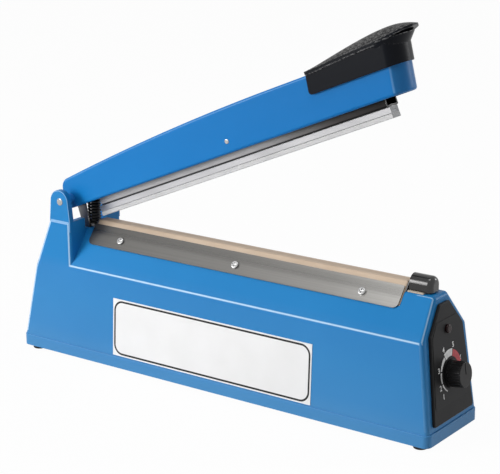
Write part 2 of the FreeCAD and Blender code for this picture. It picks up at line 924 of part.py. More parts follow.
def switch_screws():
    rods = switch_screw_rods()
    front = switch_y - switch_thickness / 2
    heads = []
    for one in rods:
        middle = one.CenterOfMass
        seat = V(middle.x, front, middle.z)
        heads.append(rod(seat - V(0, bracket_thickness, 0), seat, switch_screw_radius * 1.8))
    return [shank.fuse(head) for shank, head in zip(rods, heads)]


def switch_plunger():
    start = V(switch_right - plunger_bore + plunger_travel + fit_gap, switch_y, plunger_z)
    end = V(plunger_tip, switch_y, plunger_z)
    plunger = rod(start, end, plunger_radius)
    return rounded(plunger, plunger_radius / 3, lambda edge: edge.BoundBox.XMin > plunger_tip - 0.01)


def switch_bracket():
    left = switch_left
    behind = switch_back + bracket_thickness
    flange_back = switch_back + bracket_flange
    upright = box(left, switch_right, switch_back, behind, switch_low, ceiling_z)
    flange_low = ceiling_z - bracket_thickness
    flange = box(left + wall, switch_right, switch_back, flange_back, flange_low, ceiling_z)
    corner = box(left - 1, left + wall, switch_back - 1, flange_back, switch_top, ceiling_z + 1)
    return upright.fuse(flange).cut(corner).cut(switch_screw_rods()).removeSplitter()


# Transformer and its strap
def transformer_core():
    low = plate_top
    core = box(core_left, core_left + core_length, -core_depth / 2, core_depth / 2, low, low + core_height)
    opening = (core_length - 4 * core_limb) / 2
    first = core_left + core_limb
    second = core_left + core_length - core_limb - opening
    top = low + core_height - core_limb
    windows = [box(x, x + opening, -core_depth, core_depth, low + core_limb, top) for x in (first, second)]
    return core.cut(windows)


def transformer_coil():
    opening = (core_length - 4 * core_limb) / 2
    left = core_left + core_limb + coil_margin
    right = core_left + core_length - core_limb - coil_margin
    low = plate_top + core_limb + coil_margin
    top = plate_top + core_height - core_limb - coil_margin
    winding = box(left, right, -coil_depth / 2, coil_depth / 2, low, top)
    winding = rounded(winding, opening / 2, lambda edge: edge.BoundBox.ZLength > core_limb)
    limb_left = left - coil_margin + opening
    limb = box(limb_left, limb_left + 2 * core_limb, -core_depth / 2, core_depth / 2, low - 1, top + 1)
    return winding.cut(limb)


def transformer_frame():
    low = plate_top
    half = core_depth / 2 - 2
    left = core_left - strap_thickness
    right = core_left + core_length + strap_thickness
    top = low + core_height
    strap = box(left, right, -half, half, low, top + strap_thickness)
    strap = strap.cut(box(core_left, core_left + core_length, -core_depth, core_depth, low - 1, top))
    feet = box(left - strap_foot, left, -half, half, low, low + strap_thickness)
    feet = feet.fuse(box(right, right + strap_foot, -half, half, low, low + strap_thickness))
    holes = [rod(p - V(0, 0, 1), p + V(0, 0, wall), strap_screw_radius) for p in strap_screws_at()]
    return strap.fuse(feet).removeSplitter().cut(holes)


def strap_screws_at():
    left = core_left - strap_thickness - strap_foot / 2
    right = core_left + core_length + strap_thickness + strap_foot / 2
    return [V(x, 0, plate_top) for x in (left, right)]


def transformer_screws():
    one = screw(strap_screw_radius * 1.9, strap_screw_radius, strap_screw_radius, strap_thickness)
    lift = V(0, 0, strap_thickness)
    return [placed(one, FreeCAD.Placement(p + lift, FreeCAD.Rotation())) for p in strap_screws_at()]


# Control panel, drawn flat on the end face: x across, y up the face, z outwards
def panel_half_width(h):
    share = (h - panel_low) / (panel_shoulder - panel_low)
    if h <= panel_shoulder:
        return panel_low_half_width + (panel_shoulder_half_width - panel_low_half_width) * share
    rise = (h - panel_shoulder) / (panel_top - panel_shoulder)
    return panel_shoulder_half_width + (panel_top_half_width - panel_shoulder_half_width) * rise


def panel_outline(low, top, inset, corner, z):
    heights = [low, panel_shoulder - inset / 2, top]
    right = [(panel_half_width(h) - inset, h) for h in heights]
    points = right + [(-x, h) for x, h in reversed(right)]
    return outline([(V(x, h, z), corner) for x, h in points])


lamp_place = V(0, lamp_at, 0)
knob_place = V(0, knob_at, 0)
dial_face = panel_thickness + dial_thickness
knob_low = dial_face + knob_gap
knob_face = knob_low + knob_height


def control_panel():
    panel = prism(panel_outline(panel_low, panel_top, 0, panel_corner, 0), out * panel_thickness)
    panel = rounded(panel, panel_edge, lambda edge: edge.BoundBox.ZMin > panel_thickness - 0.01)
    through = out * dial_face * 2
    lamp_hole = rod(lamp_place - through, lamp_place + through, lamp_radius)
    bush_hole = rod(knob_place - through, knob_place + through, bush_radius)
    return placed(panel.cut([lamp_hole, bush_hole]), end_face)


def dial_plate():
    edge = panel_outline(dial_low, dial_top, dial_inset, panel_corner, panel_thickness)
    plate = prism(edge, out * dial_thickness)
    through = out * dial_face * 2
    lamp_hole = rod(lamp_place, lamp_place + through, lamp_radius)
    bush_hole = rod(knob_place, knob_place + through, bush_radius)
    return placed(plate.cut([lamp_hole, bush_hole]), end_face)


def lamp_lens():
    lens = rod(lamp_place, lamp_place + out * (dial_face + lamp_stand + lamp_dome), lamp_radius)
    lens = rounded(lens, lamp_dome, lambda edge: edge.BoundBox.ZMin > dial_face + lamp_stand)
    return placed(lens, end_face)


def lamp_body():
    body = rod(lamp_place - out * lamp_body_length, lamp_place, lamp_body_radius)
    back = lamp_place - out * lamp_body_length
    spread = V(lamp_body_radius / 2, 0, 0)
    pins = [rod(p - out * lamp_pin_length, p, lamp_pin_radius) for p in (back - spread, back + spread)]
    return placed(fuse_all([body] + pins), end_face)


def potentiometer():
    body = rod(knob_place - out * pot_depth, knob_place, pot_radius)
    bush = rod(knob_place, knob_place + out * (dial_face + nut_height + knob_gap), bush_radius)
    bore = rod(knob_place - out * pot_depth / 2, knob_place + out * far, shaft_radius + running_clearance)
    return placed(body.fuse(bush).cut(bore), end_face)


def potentiometer_nut():
    radius = nut_across_flats / math.sqrt(3)
    angles = [math.pi * i / 3 for i in range(6)]
    corners = [V(radius * math.cos(a), radius * math.sin(a), 0) for a in angles]
    seat = knob_place + out * dial_face
    nut = prism(polygon([seat + c for c in corners]), out * nut_height)
    return placed(nut.cut(rod(seat, seat + out * nut_height, bush_radius)), end_face)


def knob_shaft():
    start = knob_place - out * (pot_depth / 2 - fit_gap)
    end = knob_place + out * (knob_low + knob_recess + shaft_in_knob)
    return placed(rod(start, end, shaft_radius), end_face)


def control_knob():
    low = knob_place + out * knob_low
    face = knob_place + out * knob_face
    skirt = rod(low, low + out * knob_skirt, knob_base_radius)
    grip = Part.makeCone(knob_base_radius - knob_edge, knob_face_radius, knob_height, low, out)
    grip = rounded(grip, knob_edge, lambda edge: edge.BoundBox.ZMin > knob_face - 0.01)
    flutes = []
    for i in range(knob_flutes):
        angle = 2 * math.pi * i / knob_flutes
        way = V(math.cos(angle), math.sin(angle), 0)
        start = low + out * knob_skirt + way * (knob_base_radius - knob_edge / 2)
        end = face + out + way * (knob_face_radius + knob_edge / 4)
        flutes.append(rod(start, end, knob_flute_radius))
    half = knob_pointer_width / 2
    pointer_end = knob_face_radius - knob_edge
    pointer = box(-half, half, 0, pointer_end, knob_face - knob_pointer_depth, knob_face + 1)
    pointer.translate(knob_place)
    recess = rod(low - out, low + out * knob_recess, knob_recess_radius)
    bore = rod(low, low + out * (knob_recess + shaft_in_knob), shaft_radius)
    knob = grip.cut(flutes).fuse(skirt).removeSplitter()
    return placed(knob.cut([pointer, recess, bore]), end_face)


def timer_board():
    back = -pot_depth - board_thickness
    board = box(-board_half_width, board_half_width, board_low, board_top, back, -pot_depth)
    return placed(board, end_face)


def timer_parts():
    back = -pot_depth - board_thickness
    left = -board_half_width + part_inset
    right = board_half_width - part_inset
    low = board_low + part_inset
    top = board_top - part_inset
    relay = box(left, left + relay_length, low, low + relay_width, back - relay_height, back)
    chip = box(right - chip_length, right, low, low + chip_width, back - chip_height, back)
    block = box(right - terminal_block, right, top - relay_width, top, back - chip_length, back)
    cans = []
    for i in (0, 1):
        seat = V(left + can_radius + i * (2 * can_radius + part_inset), top - can_radius, back)
        cans.append(rod(seat - out * can_height, seat, can_radius))
    return [placed(piece, end_face) for piece in [relay, chip, block] + cans]


# Front label and mains lead inlet
def label_plate():
    low = label_low
    top = label_low + label_height
    lean = math.hypot(1, side_draft)
    low_y = -side_y(low)
    top_y = -side_y(top)
    off = label_thickness * lean
    section = [(low_y, low), (top_y, top), (top_y - off, top), (low_y - off, low)]
    return prism(polygon([V(label_left, y, z) for y, z in section]), V(label_length, 0, 0))


def cable_grommet():
    flange = rod(V(0, 0, 0), out * grommet_flange_thickness, grommet_flange)
    flange = rounded(flange, grommet_flange_thickness / 2, lambda edge: edge.BoundBox.ZMin > 0.1)
    neck = rod(out * -wall, V(0, 0, 0), grommet_neck)
    inner = rod(out * (-wall - grommet_flange_thickness), out * -wall, grommet_flange - 1)
    bore = rod(out * -far, out * far, grommet_bore)
    return placed(fuse_all([flange, neck, inner]).cut(bore), left_face)


# Arm, drawn closed: x along the arm, z above the hinge axis
def arm_side(inset, low):
    left = -arm_tail + inset
    corner = arm_wall * 2 - inset
    top = arm_top - inset
    tail_top = arm_tail_top - inset
    middle = (arm_tail_top_at + arm_top_at) / 2
    middle_top = (top + tail_top) / 2 + arm_rise
    turn = arm_tail_top_at - left
    side_top = tail_top - turn
    bend = turn * (1 - math.sqrt(0.5))
    toe = corner * (1 - math.sqrt(0.5))
    back_bend = V(middle, 0, middle_top)
    back_end = V(arm_tail_top_at, 0, tail_top)
    tail_bend = V(left + bend, 0, tail_top - bend)
    toe_bend = V(left + toe, 0, low + toe)
    edges = [
        Part.makeLine(V(left + corner, 0, low), V(far, 0, low)),
        Part.makeLine(V(far, 0, low), V(far, 0, top)),
        Part.makeLine(V(far, 0, top), V(arm_top_at, 0, top)),
        Part.Arc(V(arm_top_at, 0, top), back_bend, back_end).toShape(),
        Part.Arc(back_end, tail_bend, V(left, 0, side_top)).toShape(),
        Part.makeLine(V(left, 0, side_top), V(left, 0, low + corner)),
        Part.Arc(V(left, 0, low + corner), toe_bend, V(left + corner, 0, low)).toShape(),
    ]
    solid = Part.Face(Part.Wire(edges)).extrude(V(0, base_width * 2, 0))
    solid.translate(V(0, -base_width, 0))
    return solid


def arm_half_width(u):
    share = u / arm_nose_at
    return arm_hinge_half_width + (arm_nose_half_width - arm_hinge_half_width) * share


def arm_plan(inset):
    """Seen from above: tapering sides and a bulged nose that leans outwards upwards."""
    low = -2 * arm_top
    start = -4 * arm_tail
    shift = arm_nose_lean * (low + arm_bottom)
    nose = arm_nose_at + shift
    half = arm_half_width(arm_nose_at) - inset
    tail = arm_half_width(start) - inset
    tip = V(nose + arm_nose_bulge - inset, 0, low)
    edges = [
        Part.makeLine(V(start, -tail, low), V(nose, -half, low)),
        Part.Arc(V(nose, -half, low), tip, V(nose, half, low)).toShape(),
        Part.makeLine(V(nose, half, low), V(start, tail, low)),
        Part.makeLine(V(start, tail, low), V(start, -tail, low)),
    ]
    height = 6 * arm_top
    solid = prism(Part.Wire(edges), V(arm_nose_lean * height, 0, height))
    corner = arm_nose_corner - inset / 2
    nose_edges = lambda edge: edge.BoundBox.ZLength > arm_top and edge.CenterOfMass.x > rocker_at
    return rounded(solid, corner, nose_edges)


def tail_strips(inset):
    """What is taken off the arm's sides to let its tail in between the ears."""
    low = -2 * arm_bottom
    top = 2 * arm_top
    points = [
        V(-4 * arm_tail, 0, low),
        V(tail_step_at + tail_step_lean * low + inset, 0, low),
        V(tail_step_at + tail_step_lean * top + inset, 0, top),
        V(-4 * arm_tail, 0, top),
    ]
    strip = prism(polygon(points), V(0, base_width, 0))
    strip.translate(V(0, tail_half_width - inset, 0))
    return [strip, mirrored(strip)]


def arm_block():
    block = arm_side(0, -arm_bottom).common(arm_plan(0))
    return rounded(block, arm_edge, lambda edge: runs_along(edge) and edge.BoundBox.ZMax > arm_tail_top - 1)


def arm_room():
    room = arm_side(arm_wall, -2 * arm_bottom).common(arm_plan(arm_wall))
    return room.cut(tail_strips(arm_wall))


def roof_height(u):
    """Height of the arm's inner roof above its middle line."""
    return room_in_arm.common(rod(V(u, 0, 0), V(u, 0, arm_top * 2), running_clearance)).BoundBox.ZMax


room_in_arm = arm_room()


def arm_housing():
    y = V(0, base_width, 0)
    pin_hole = rod(-y, y, pin_radius + running_clearance)
    rocker = V(rocker_at, 0, rocker_height)
    rocker_hole = rod(rocker - y, rocker + y, rocker_radius)
    holes = [rod(p - out * wall, p + out * wall * 4, grip_screw_radius) for p in grip_screws_at()]
    shell = arm_block().cut(tail_strips(0)).cut(room_in_arm)
    return shell.cut([pin_hole, rocker_hole] + holes).removeSplitter()


def grip_screws_at():
    roof = arm_top - arm_wall
    return [V(grip_at + grip_screw_inset + grip_screw_spacing * i, 0, roof) for i in (0, 1)]


def grip_screws():
    one = screw(grip_screw_radius * 1.8, grip_screw_radius, grip_screw_radius, grip_screw_length)
    down = FreeCAD.Rotation(V(1, 0, 0), 180)
    return [placed(one, FreeCAD.Placement(p, down)) for p in grip_screws_at()]


def grip_section(u, half, low, edge, crown):
    points = [V(u, -half, low), V(u, -half, edge), V(u, 0, crown), V(u, half, edge), V(u, half, low)]
    edges = [
        Part.makeLine(points[0], points[1]),
        Part.Arc(points[1], points[2], points[3]).toShape(),
        Part.makeLine(points[3], points[4]),
        Part.makeLine(points[4], points[0]),
    ]
    return Part.Wire(edges)


def lip_outline(height, half, tip):
    """Rounded end of the grip, seen from above at one height."""
    start = grip_crown_at - grip_lip_start
    corners = [V(start, -half, height), V(start, half, height)]
    edges = [
        Part.Arc(corners[0], V(tip, 0, height), corners[1]).toShape(),
        Part.makeLine(corners[1], corners[0]),
    ]
    return Part.Wire(edges)


def grip_lip():
    """Flares from the sleeve's round end up to the rim of the crown."""
    top = grip_edge_end - grip_plate / 2
    low = top - grip_lip_height
    sleeve_tip = arm_nose_at + arm_nose_bulge + arm_nose_lean * (low + arm_bottom) + grip_wall
    half = arm_half_width(grip_crown_at)
    lower = lip_outline(low, half + grip_wall / 2, sleeve_tip - fit_gap)
    upper = lip_outline(top, half + grip_wall, grip_tip - grip_lip_inset)
    return Part.makeLoft([lower, upper], True, True)


def handle_grip():
    nose = arm_nose_at + arm_nose_bulge
    top_start = grip_edge_start - grip_plate / 2
    top_end = grip_edge_end - grip_plate / 2
    corners = [
        (V(grip_at - grip_lean, 0, grip_low), grip_corner),
        (V(far, 0, grip_low), 0),
        (V(far, 0, top_end), 0),
        (V(nose, 0, top_end), 0),
        (V(grip_at, 0, top_start), 0),
    ]
    side = Part.Face(outline(corners))
    side.translate(V(0, -base_width, 0))
    sleeve = side.extrude(V(0, base_width * 2, 0)).common(arm_plan(-grip_wall))
    room = arm_plan(-grip_gap).common(box(0, far, -base_width, base_width, -arm_bottom, arm_top + grip_gap))
    wide = grip_wall + grip_flare
    crowns = [grip_crown_start, grip_crown_first, grip_crown_second, grip_crown_end]
    sections = []
    for i, crown in enumerate(crowns):
        share = i / (len(crowns) - 1)
        u = grip_at + (grip_crown_at - grip_at) * share
        edge = grip_edge_start + (grip_edge_end - grip_edge_start) * share
        sections.append(grip_section(u, arm_half_width(u) + wide, edge - grip_plate, edge, crown))
    for share in (0.55, 0.85, 0.985):
        u = grip_crown_at + (grip_tip - grip_crown_at) * share
        narrow = math.sqrt(1 - share ** 2)
        half = (arm_half_width(grip_crown_at) + wide) * narrow
        edge = grip_edge_end + (grip_tip_height - grip_edge_end) * share
        plate = grip_plate + (grip_tip_plate - grip_plate) * share
        crown = edge + (grip_crown_end - grip_edge_end) * (1 - share ** 1.6)
        sections.append(grip_section(u, half, edge - plate, edge, crown))
    dome = Part.makeLoft(sections, True, False)
    holes = [rod(p, p + out * grip_screw_length, grip_screw_radius) for p in grip_screws_at()]
    return sleeve.fuse([dome, grip_lip()]).cut([room] + holes).removeSplitter()


def switch_blade():
    back = V(0, blade_y, 0)
    web_top = blade_top + blade_thickness
    blade = polygon([
        V(blade_left_top, 0, blade_top),
        V(blade_left_top, 0, web_top),
        V(blade_right_top, 0, web_top),
        V(blade_right_top, 0, blade_top),
        V(blade_right_waist, 0, blade_waist),
        V(blade_right_low, 0, blade_low),
        V(blade_left_low, 0, blade_low),
        V(blade_left_waist, 0, blade_waist),
    ])
    blade = prism(blade, V(0, -blade_thickness, 0))
    blade.translate(back)
    wall_y = -(tail_half_width - arm_wall)
    web = box(blade_left_top, blade_right_top, wall_y, blade_y, blade_top, web_top)
    flange_back = wall_y + blade_thickness
    flange_top = blade_top + blade_flange_height
    flange = box(blade_left_top, blade_right_top, wall_y, flange_back, blade_top, flange_top)
    hole = rod(V(0, -base_width, 0), V(0, base_width, 0), pin_radius + fit_gap)
    return fuse_all([blade, web, flange]).cut(hole)


def spring_seat():
    low = V(spring_seat_at, 0, spring_seat_low)
    return rod(low, low + out * arm_top, spring_seat_radius).common(room_in_arm)


def rocker_pin():
    half = arm_half_width(rocker_at) + rocker_proud
    pin = rod(V(rocker_at, -half, rocker_height), V(rocker_at, half, rocker_height), rocker_radius)
    return rounded(pin, rocker_proud, flat_across)


# Pressing bar and its carrier
bar_screw_xs = [bar_middle + bar_screw_spacing * i for i in (-1, 0, 1)]
bar_screws_at = [V(x, 0, carrier_bottom + carrier_thickness) for x in bar_screw_xs]


def bar_carrier():
    half = carrier_half_width
    inner = half - carrier_thickness
    low = carrier_bottom
    top = low + carrier_height
    channel = box(carrier_left, carrier_right, -half, half, low, top)
    bend = carrier_thickness
    channel = rounded(channel, bend, lambda edge: runs_along(edge) and edge.BoundBox.ZMax < low + 0.01)
    floor = low + carrier_thickness
    channel = channel.cut(box(carrier_left - 1, carrier_right + 1, -inner, inner, floor, top + 1))
    slot_radius = rocker_radius + fit_gap
    slot_left = rocker_at - slot_radius
    slot_right = rocker_at + slot_radius
    slot_low = rocker_height - bar_float
    across = V(0, half + 1, 0)
    ends = [V(rocker_at, 0, rocker_height), V(rocker_at, 0, slot_low)]
    slots = [rod(p - across, p + across, slot_radius) for p in ends]
    slots.append(box(slot_left, slot_right, -half - 1, half + 1, slot_low, rocker_height))
    holes = [rod(p - out * wall, p + out, bar_screw_radius) for p in bar_screws_at]
    return channel.cut(slots + holes).removeSplitter()


def press_bar():
    low = bar_top - bar_height
    bar = box(bar_left, bar_right, -bar_half_width, bar_half_width, low, bar_top)
    bar = rounded(bar, bar_edge, runs_along)
    half = bar_groove_half_width
    groove = box(bar_left - 1, bar_right + 1, -half, half, low - 1, low + bar_groove)
    holes = [rod(p - out * bar_screw_length, p, bar_screw_radius) for p in bar_screws_at]
    return bar.cut([groove] + holes)


def bar_screws():
    one = screw(bar_screw_head, bar_screw_head_height, bar_screw_radius, bar_screw_length)
    return [placed(one, FreeCAD.Placement(p, FreeCAD.Rotation())) for p in bar_screws_at]


def silicone_strip():
    top = bar_top - bar_height
    foot = box(bar_left, bar_right, -strip_half_width, strip_half_width, strip_low, top)
    foot = rounded(foot, strip_edge, runs_along)
    root_half = bar_groove_half_width - strip_root_gap
    root = box(bar_left, bar_right, -root_half, root_half, top - 1, top + bar_groove - strip_root_gap)
    return foot.fuse(root).removeSplitter()


def carrier_springs():
    low = carrier_bottom + carrier_thickness
    springs = []
    for way in (-1, 1):
        at = rocker_at + carrier_spring_spacing * way
        nearer = roof_height(at - carrier_spring_radius)
        farther = roof_height(at + carrier_spring_radius)
        length = min(nearer, farther) - fit_gap - low
        radius = carrier_spring_radius - carrier_spring_wire / 2
        wound = coil(radius, carrier_spring_wire, length, carrier_spring_turns)
        wound.translate(V(at, 0, low))
        springs.append(wound)
    return springs


fixed = {
    "base_housing": base_housing(),
    "base_plate": base_plate(),
    "base_plate_screws": base_plate_screws(),
    "rubber_feet": rubber_feet(),
    "sealing_bed": sealing_bed(),
    "bed_tape": bed_tape(),
    "heating_element": heating_element(),
    "terminal_screws": terminal_screws(),
    "ptfe_cloth": ptfe_cloth(),
    "front_clamp_plate": front_clamp_plate(),
    "back_clamp_plate": mirrored(front_clamp_plate()),
    "clamp_plate_screws": clamp_plate_screws(),
    "right_end_cap": right_end_cap(),
    "cap_pad": cap_pad(),
    "hinge_pin": hinge_pin(),
    "pin_spacers": pin_spacers(),
    "spring_cup": spring_cup(),
    "return_spring": return_spring(),
    "microswitch_body": microswitch_body(),
    "switch_screws": switch_screws(),
    "switch_plunger": switch_plunger(),
    "switch_bracket": switch_bracket(),
    "transformer_core": transformer_core(),
    "transformer_coil": transformer_coil(),
    "transformer_frame": transformer_frame(),
    "transformer_screws": transformer_screws(),
    "control_panel": control_panel(),
    "dial_plate": dial_plate(),
    "lamp_lens": lamp_lens(),
    "lamp_body": lamp_body(),
    "potentiometer": potentiometer(),
    "potentiometer_nut": potentiometer_nut(),
    "knob_shaft": knob_shaft(),
    "control_knob": control_knob(),
    "timer_board": timer_board(),
    "timer_parts": timer_parts(),
    "label_plate": label_plate(),
    "cable_grommet": cable_grommet(),
}

swinging = {
    "arm_housing": arm_housing(),
    "handle_grip": handle_grip(),
    "grip_screws": grip_screws(),
    "switch_blade": switch_blade(),
    "spring_seat": spring_seat(),
    "rocker_pin": rocker_pin(),
    "bar_carrier": bar_carrier(),
    "press_bar": press_bar(),
    "bar_screws": bar_screws(),
    "silicone_strip": silicone_strip(),
    "carrier_springs": carrier_springs(),
}

# The origin lies midway between the skirt's left end and the knob's face, on the feet's underside
reach = fixed["control_knob"].optimalBoundingBox(False, False).XMax
to_origin = V(-(left_x + reach) / 2, 0, foot_height)
print("hinge axis through", V(0, 0, hinge_height) + to_origin)
print("knob axis through", end_face.multVec(knob_place) + to_origin, "along", end_out)
print("cable inlet through", left_face.multVec(V(0, 0, 0)) + to_origin, "along", left_out)


def save(node, shape):
    solids = shape if isinstance(shape, list) else [shape]
    whole = Part.makeCompound(solids) if len(solids) > 1 else solids[0]
    whole = whole.copy()
    whole.translate(to_origin)
    if not whole.isValid():
        print("not valid:", node)
    print(node, len(whole.Solids), round(whole.Volume, 1))
    whole.exportStep("parts/" + node + ".step")


for node, shape in fixed.items():
    save(node, shape)
for node, shape in swinging.items():
    if isinstance(shape, list):
        save(node, [open_arm(one) for one in shape])
    else:
        save(node, open_arm(shape))
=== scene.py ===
import bmesh
import bpy
import json
import math
from mathutils import Matrix, Vector


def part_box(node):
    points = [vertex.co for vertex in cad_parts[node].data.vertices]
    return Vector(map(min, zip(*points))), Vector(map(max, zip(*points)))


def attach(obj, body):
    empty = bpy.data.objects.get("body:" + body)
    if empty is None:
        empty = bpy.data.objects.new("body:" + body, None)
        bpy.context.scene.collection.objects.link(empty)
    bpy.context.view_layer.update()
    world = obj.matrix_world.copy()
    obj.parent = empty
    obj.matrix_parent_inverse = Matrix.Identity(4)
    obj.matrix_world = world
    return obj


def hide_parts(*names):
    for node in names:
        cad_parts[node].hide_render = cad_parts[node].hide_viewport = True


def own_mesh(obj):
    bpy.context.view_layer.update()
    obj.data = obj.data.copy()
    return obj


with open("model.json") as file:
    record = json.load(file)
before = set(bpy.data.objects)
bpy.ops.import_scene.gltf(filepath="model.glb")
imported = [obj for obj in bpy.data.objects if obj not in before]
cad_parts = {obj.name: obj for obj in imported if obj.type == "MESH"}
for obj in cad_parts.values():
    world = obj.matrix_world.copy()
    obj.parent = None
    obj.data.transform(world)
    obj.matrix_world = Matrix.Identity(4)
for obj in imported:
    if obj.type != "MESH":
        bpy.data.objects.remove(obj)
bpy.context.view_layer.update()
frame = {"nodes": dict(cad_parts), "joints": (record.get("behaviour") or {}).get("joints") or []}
cad = frame["nodes"]
joints = {joint["name"]: joint for joint in frame["joints"]}
MM = 0.001

# Places that the looks are built around, in metres
hinge_axis = Vector(joints["arm_hinge"]["pos_m"])
dial_centre = Vector(joints["knob_turn"]["pos_m"])
dial_out = Vector(joints["knob_turn"]["axis"]).normalized()
dial_across = Vector((0, 1, 0))
dial_up = dial_out.cross(dial_across)
arm_up = Vector(joints["bar_float"]["axis"]).normalized()
arm_along = Vector((arm_up.z, 0, -arm_up.x))
arm_open = math.asin(arm_along.z)


def corners_of(node):
    return [Vector(corner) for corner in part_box(node)]


# Camera, light and floor
def photo_camera(target, azimuth, elevation, roll, distance, lens):
    """A camera that circles the target: azimuth 0 looks along +Y."""
    turn = Matrix.Rotation(math.radians(azimuth), 4, "Z")
    tilt = Matrix.Rotation(math.radians(90 - elevation), 4, "X")
    lean = Matrix.Rotation(math.radians(roll), 4, "Z")
    aim = turn @ tilt @ lean
    data = bpy.data.cameras.new("photo_camera")
    data.lens = lens
    data.sensor_width = 36
    data.clip_end = 50
    camera = bpy.data.objects.new("photo_camera", data)
    camera.matrix_world = Matrix.Translation(target) @ aim @ Matrix.Translation((0, 0, distance))
    bpy.context.scene.collection.objects.link(camera)
    bpy.context.scene.camera = camera


def softbox(name, place, aim, width, height, watts, colour):
    data = bpy.data.lights.new(name, "AREA")
    data.shape = "RECTANGLE"
    data.size = width
    data.size_y = height
    data.energy = watts
    data.color = colour
    lamp = bpy.data.objects.new(name, data)
    lamp.location = place
    lamp.rotation_euler = (Vector(aim) - Vector(place)).to_track_quat("-Z", "Y").to_euler()
    bpy.context.scene.collection.objects.link(lamp)


def add_node(tree, kind, inputs=None, **settings):
    """A new node with its settings, and its inputs either set or joined to a socket."""
    made = tree.nodes.new(kind)
    for name, value in settings.items():
        setattr(made, name, value)
    for name, value in (inputs or {}).items():
        if isinstance(value, bpy.types.NodeSocket):
            tree.links.new(value, made.inputs[name])
        else:
            made.inputs[name].default_value = value
    return made


def worked_out(tree, operation, first, second=0.0):
    return add_node(tree, "ShaderNodeMath", {0: first, 1: second}, operation=operation).outputs[0]


def ranged(tree, value, low, high, new_low=0.0, new_high=1.0):
    spread = {"Value": value, "From Min": low, "From Max": high, "To Min": new_low, "To Max": new_high}
    return add_node(tree, "ShaderNodeMapRange", spread).outputs[0]


def seen_directly(tree):
    """1 for what the camera sees straight on, in a mirror or through glass."""
    path = add_node(tree, "ShaderNodeLightPath").outputs
    either = worked_out(tree, "MAXIMUM", path["Is Camera Ray"], path["Is Glossy Ray"])
    return worked_out(tree, "MAXIMUM", either, path["Is Transmission Ray"])


def white_room(fill):
    world = bpy.data.worlds.new("white_room")
    bpy.context.scene.world = world
    world.use_nodes = True
    tree = world.node_tree
    tree.nodes.clear()
    strength = ranged(tree, seen_directly(tree), 0, 1, fill, 1.0)
    sky = add_node(tree, "ShaderNodeBackground", {"Color": (1, 1, 1, 1), "Strength": strength})
    add_node(tree, "ShaderNodeOutputWorld", {"Surface": sky.outputs[0]})


def pale_floor(size, paleness):
    mesh = bpy.data.meshes.new("pale_floor")
    corners = [(-size, -size, 0), (size, -size, 0), (size, size, 0), (-size, size, 0)]
    mesh.from_pydata(corners, [], [(0, 1, 2, 3)])
    floor = bpy.data.objects.new("pale_floor", mesh)
    bpy.context.scene.collection.objects.link(floor)
    paint = bpy.data.materials.new("floor_paper")
    paint.use_nodes = True
    tree = paint.node_tree
    tree.nodes.clear()
    matt = add_node(tree, "ShaderNodeBsdfDiffuse", {"Color": (0.80, 0.80, 0.81, 1)})
    glow = add_node(tree, "ShaderNodeEmission", {"Color": (1, 1, 1, 1), "Strength": 1.0})
    share = worked_out(tree, "MULTIPLY", seen_directly(tree), paleness)
    both = {0: share, 1: matt.outputs[0], 2: glow.outputs[0]}
    surface = add_node(tree, "ShaderNodeMixShader", both)
    add_node(tree, "ShaderNodeOutputMaterial", {"Surface": surface.outputs[0]})
    mesh.materials.append(paint)


# Effects that several finishes share
def effect(name, inputs, outputs):
    """An empty shader group with named value or vector inputs and value outputs."""
    tree = bpy.data.node_groups.new(name, "ShaderNodeTree")
    for label, default in inputs:
        kind = "NodeSocketFloat" if isinstance(default, float) else "NodeSocketVector"
        socket = tree.interface.new_socket(label, in_out="INPUT", socket_type=kind)
        if default is not None:
            socket.default_value = default
    for label in outputs:
        tree.interface.new_socket(label, in_out="OUTPUT", socket_type="NodeSocketFloat")
    return tree, tree.nodes.new("NodeGroupInput").outputs, tree.nodes.new("NodeGroupOutput").inputs


def noise(tree, place, scale, detail):
    spread = {"Vector": place, "Scale": scale, "Detail": detail}
    return add_node(tree, "ShaderNodeTexNoise", spread).outputs[0]


def ramp(tree, value, stops):
    """A curve of straight runs through (place, height) stops."""
    made = add_node(tree, "ShaderNodeValToRGB", {"Fac": value})
    points = made.color_ramp.elements
    while len(points) < len(stops):
        points.new(0.5)
    for point, (place, height) in zip(points, stops):
        point.position = place
        colour = height if isinstance(height, tuple) else (height, height, height)
        point.color = (*colour, 1)
    return made.outputs["Color"]


def make_surface_grain():
    """Fine grain and broad cloudiness, both about 0 to 1."""
    inputs = [("Place", None), ("Fine", 900.0), ("Broad", 14.0)]
    tree, given, result = effect("surface_grain", inputs, ["Grain", "Cloud"])
    tree.links.new(noise(tree, given["Place"], given["Fine"], 2.0), result["Grain"])
    tree.links.new(noise(tree, given["Place"], given["Broad"], 3.0), result["Cloud"])
    return tree


def make_edge_rub():
    """1 where an edge is rubbed pale, broken up by noise."""
    inputs = [("Place", None), ("Reach", 0.0008), ("Break", 120.0)]
    tree, given, result = effect("edge_rub", inputs, ["Rub"])
    eased = add_node(tree, "ShaderNodeBevel", {"Radius": given["Reach"]}, samples=4)
    here = add_node(tree, "ShaderNodeNewGeometry")
    pair = {0: eased.outputs[0], 1: here.outputs["Normal"]}
    along = add_node(tree, "ShaderNodeVectorMath", pair, operation="DOT_PRODUCT")
    edge = ranged(tree, along.outputs["Value"], 0.99, 0.8)
    patchy = ranged(tree, noise(tree, given["Place"], given["Break"], 4.0), 0.42, 0.62)
    tree.links.new(worked_out(tree, "MULTIPLY", edge, patchy), result["Rub"])
    return tree


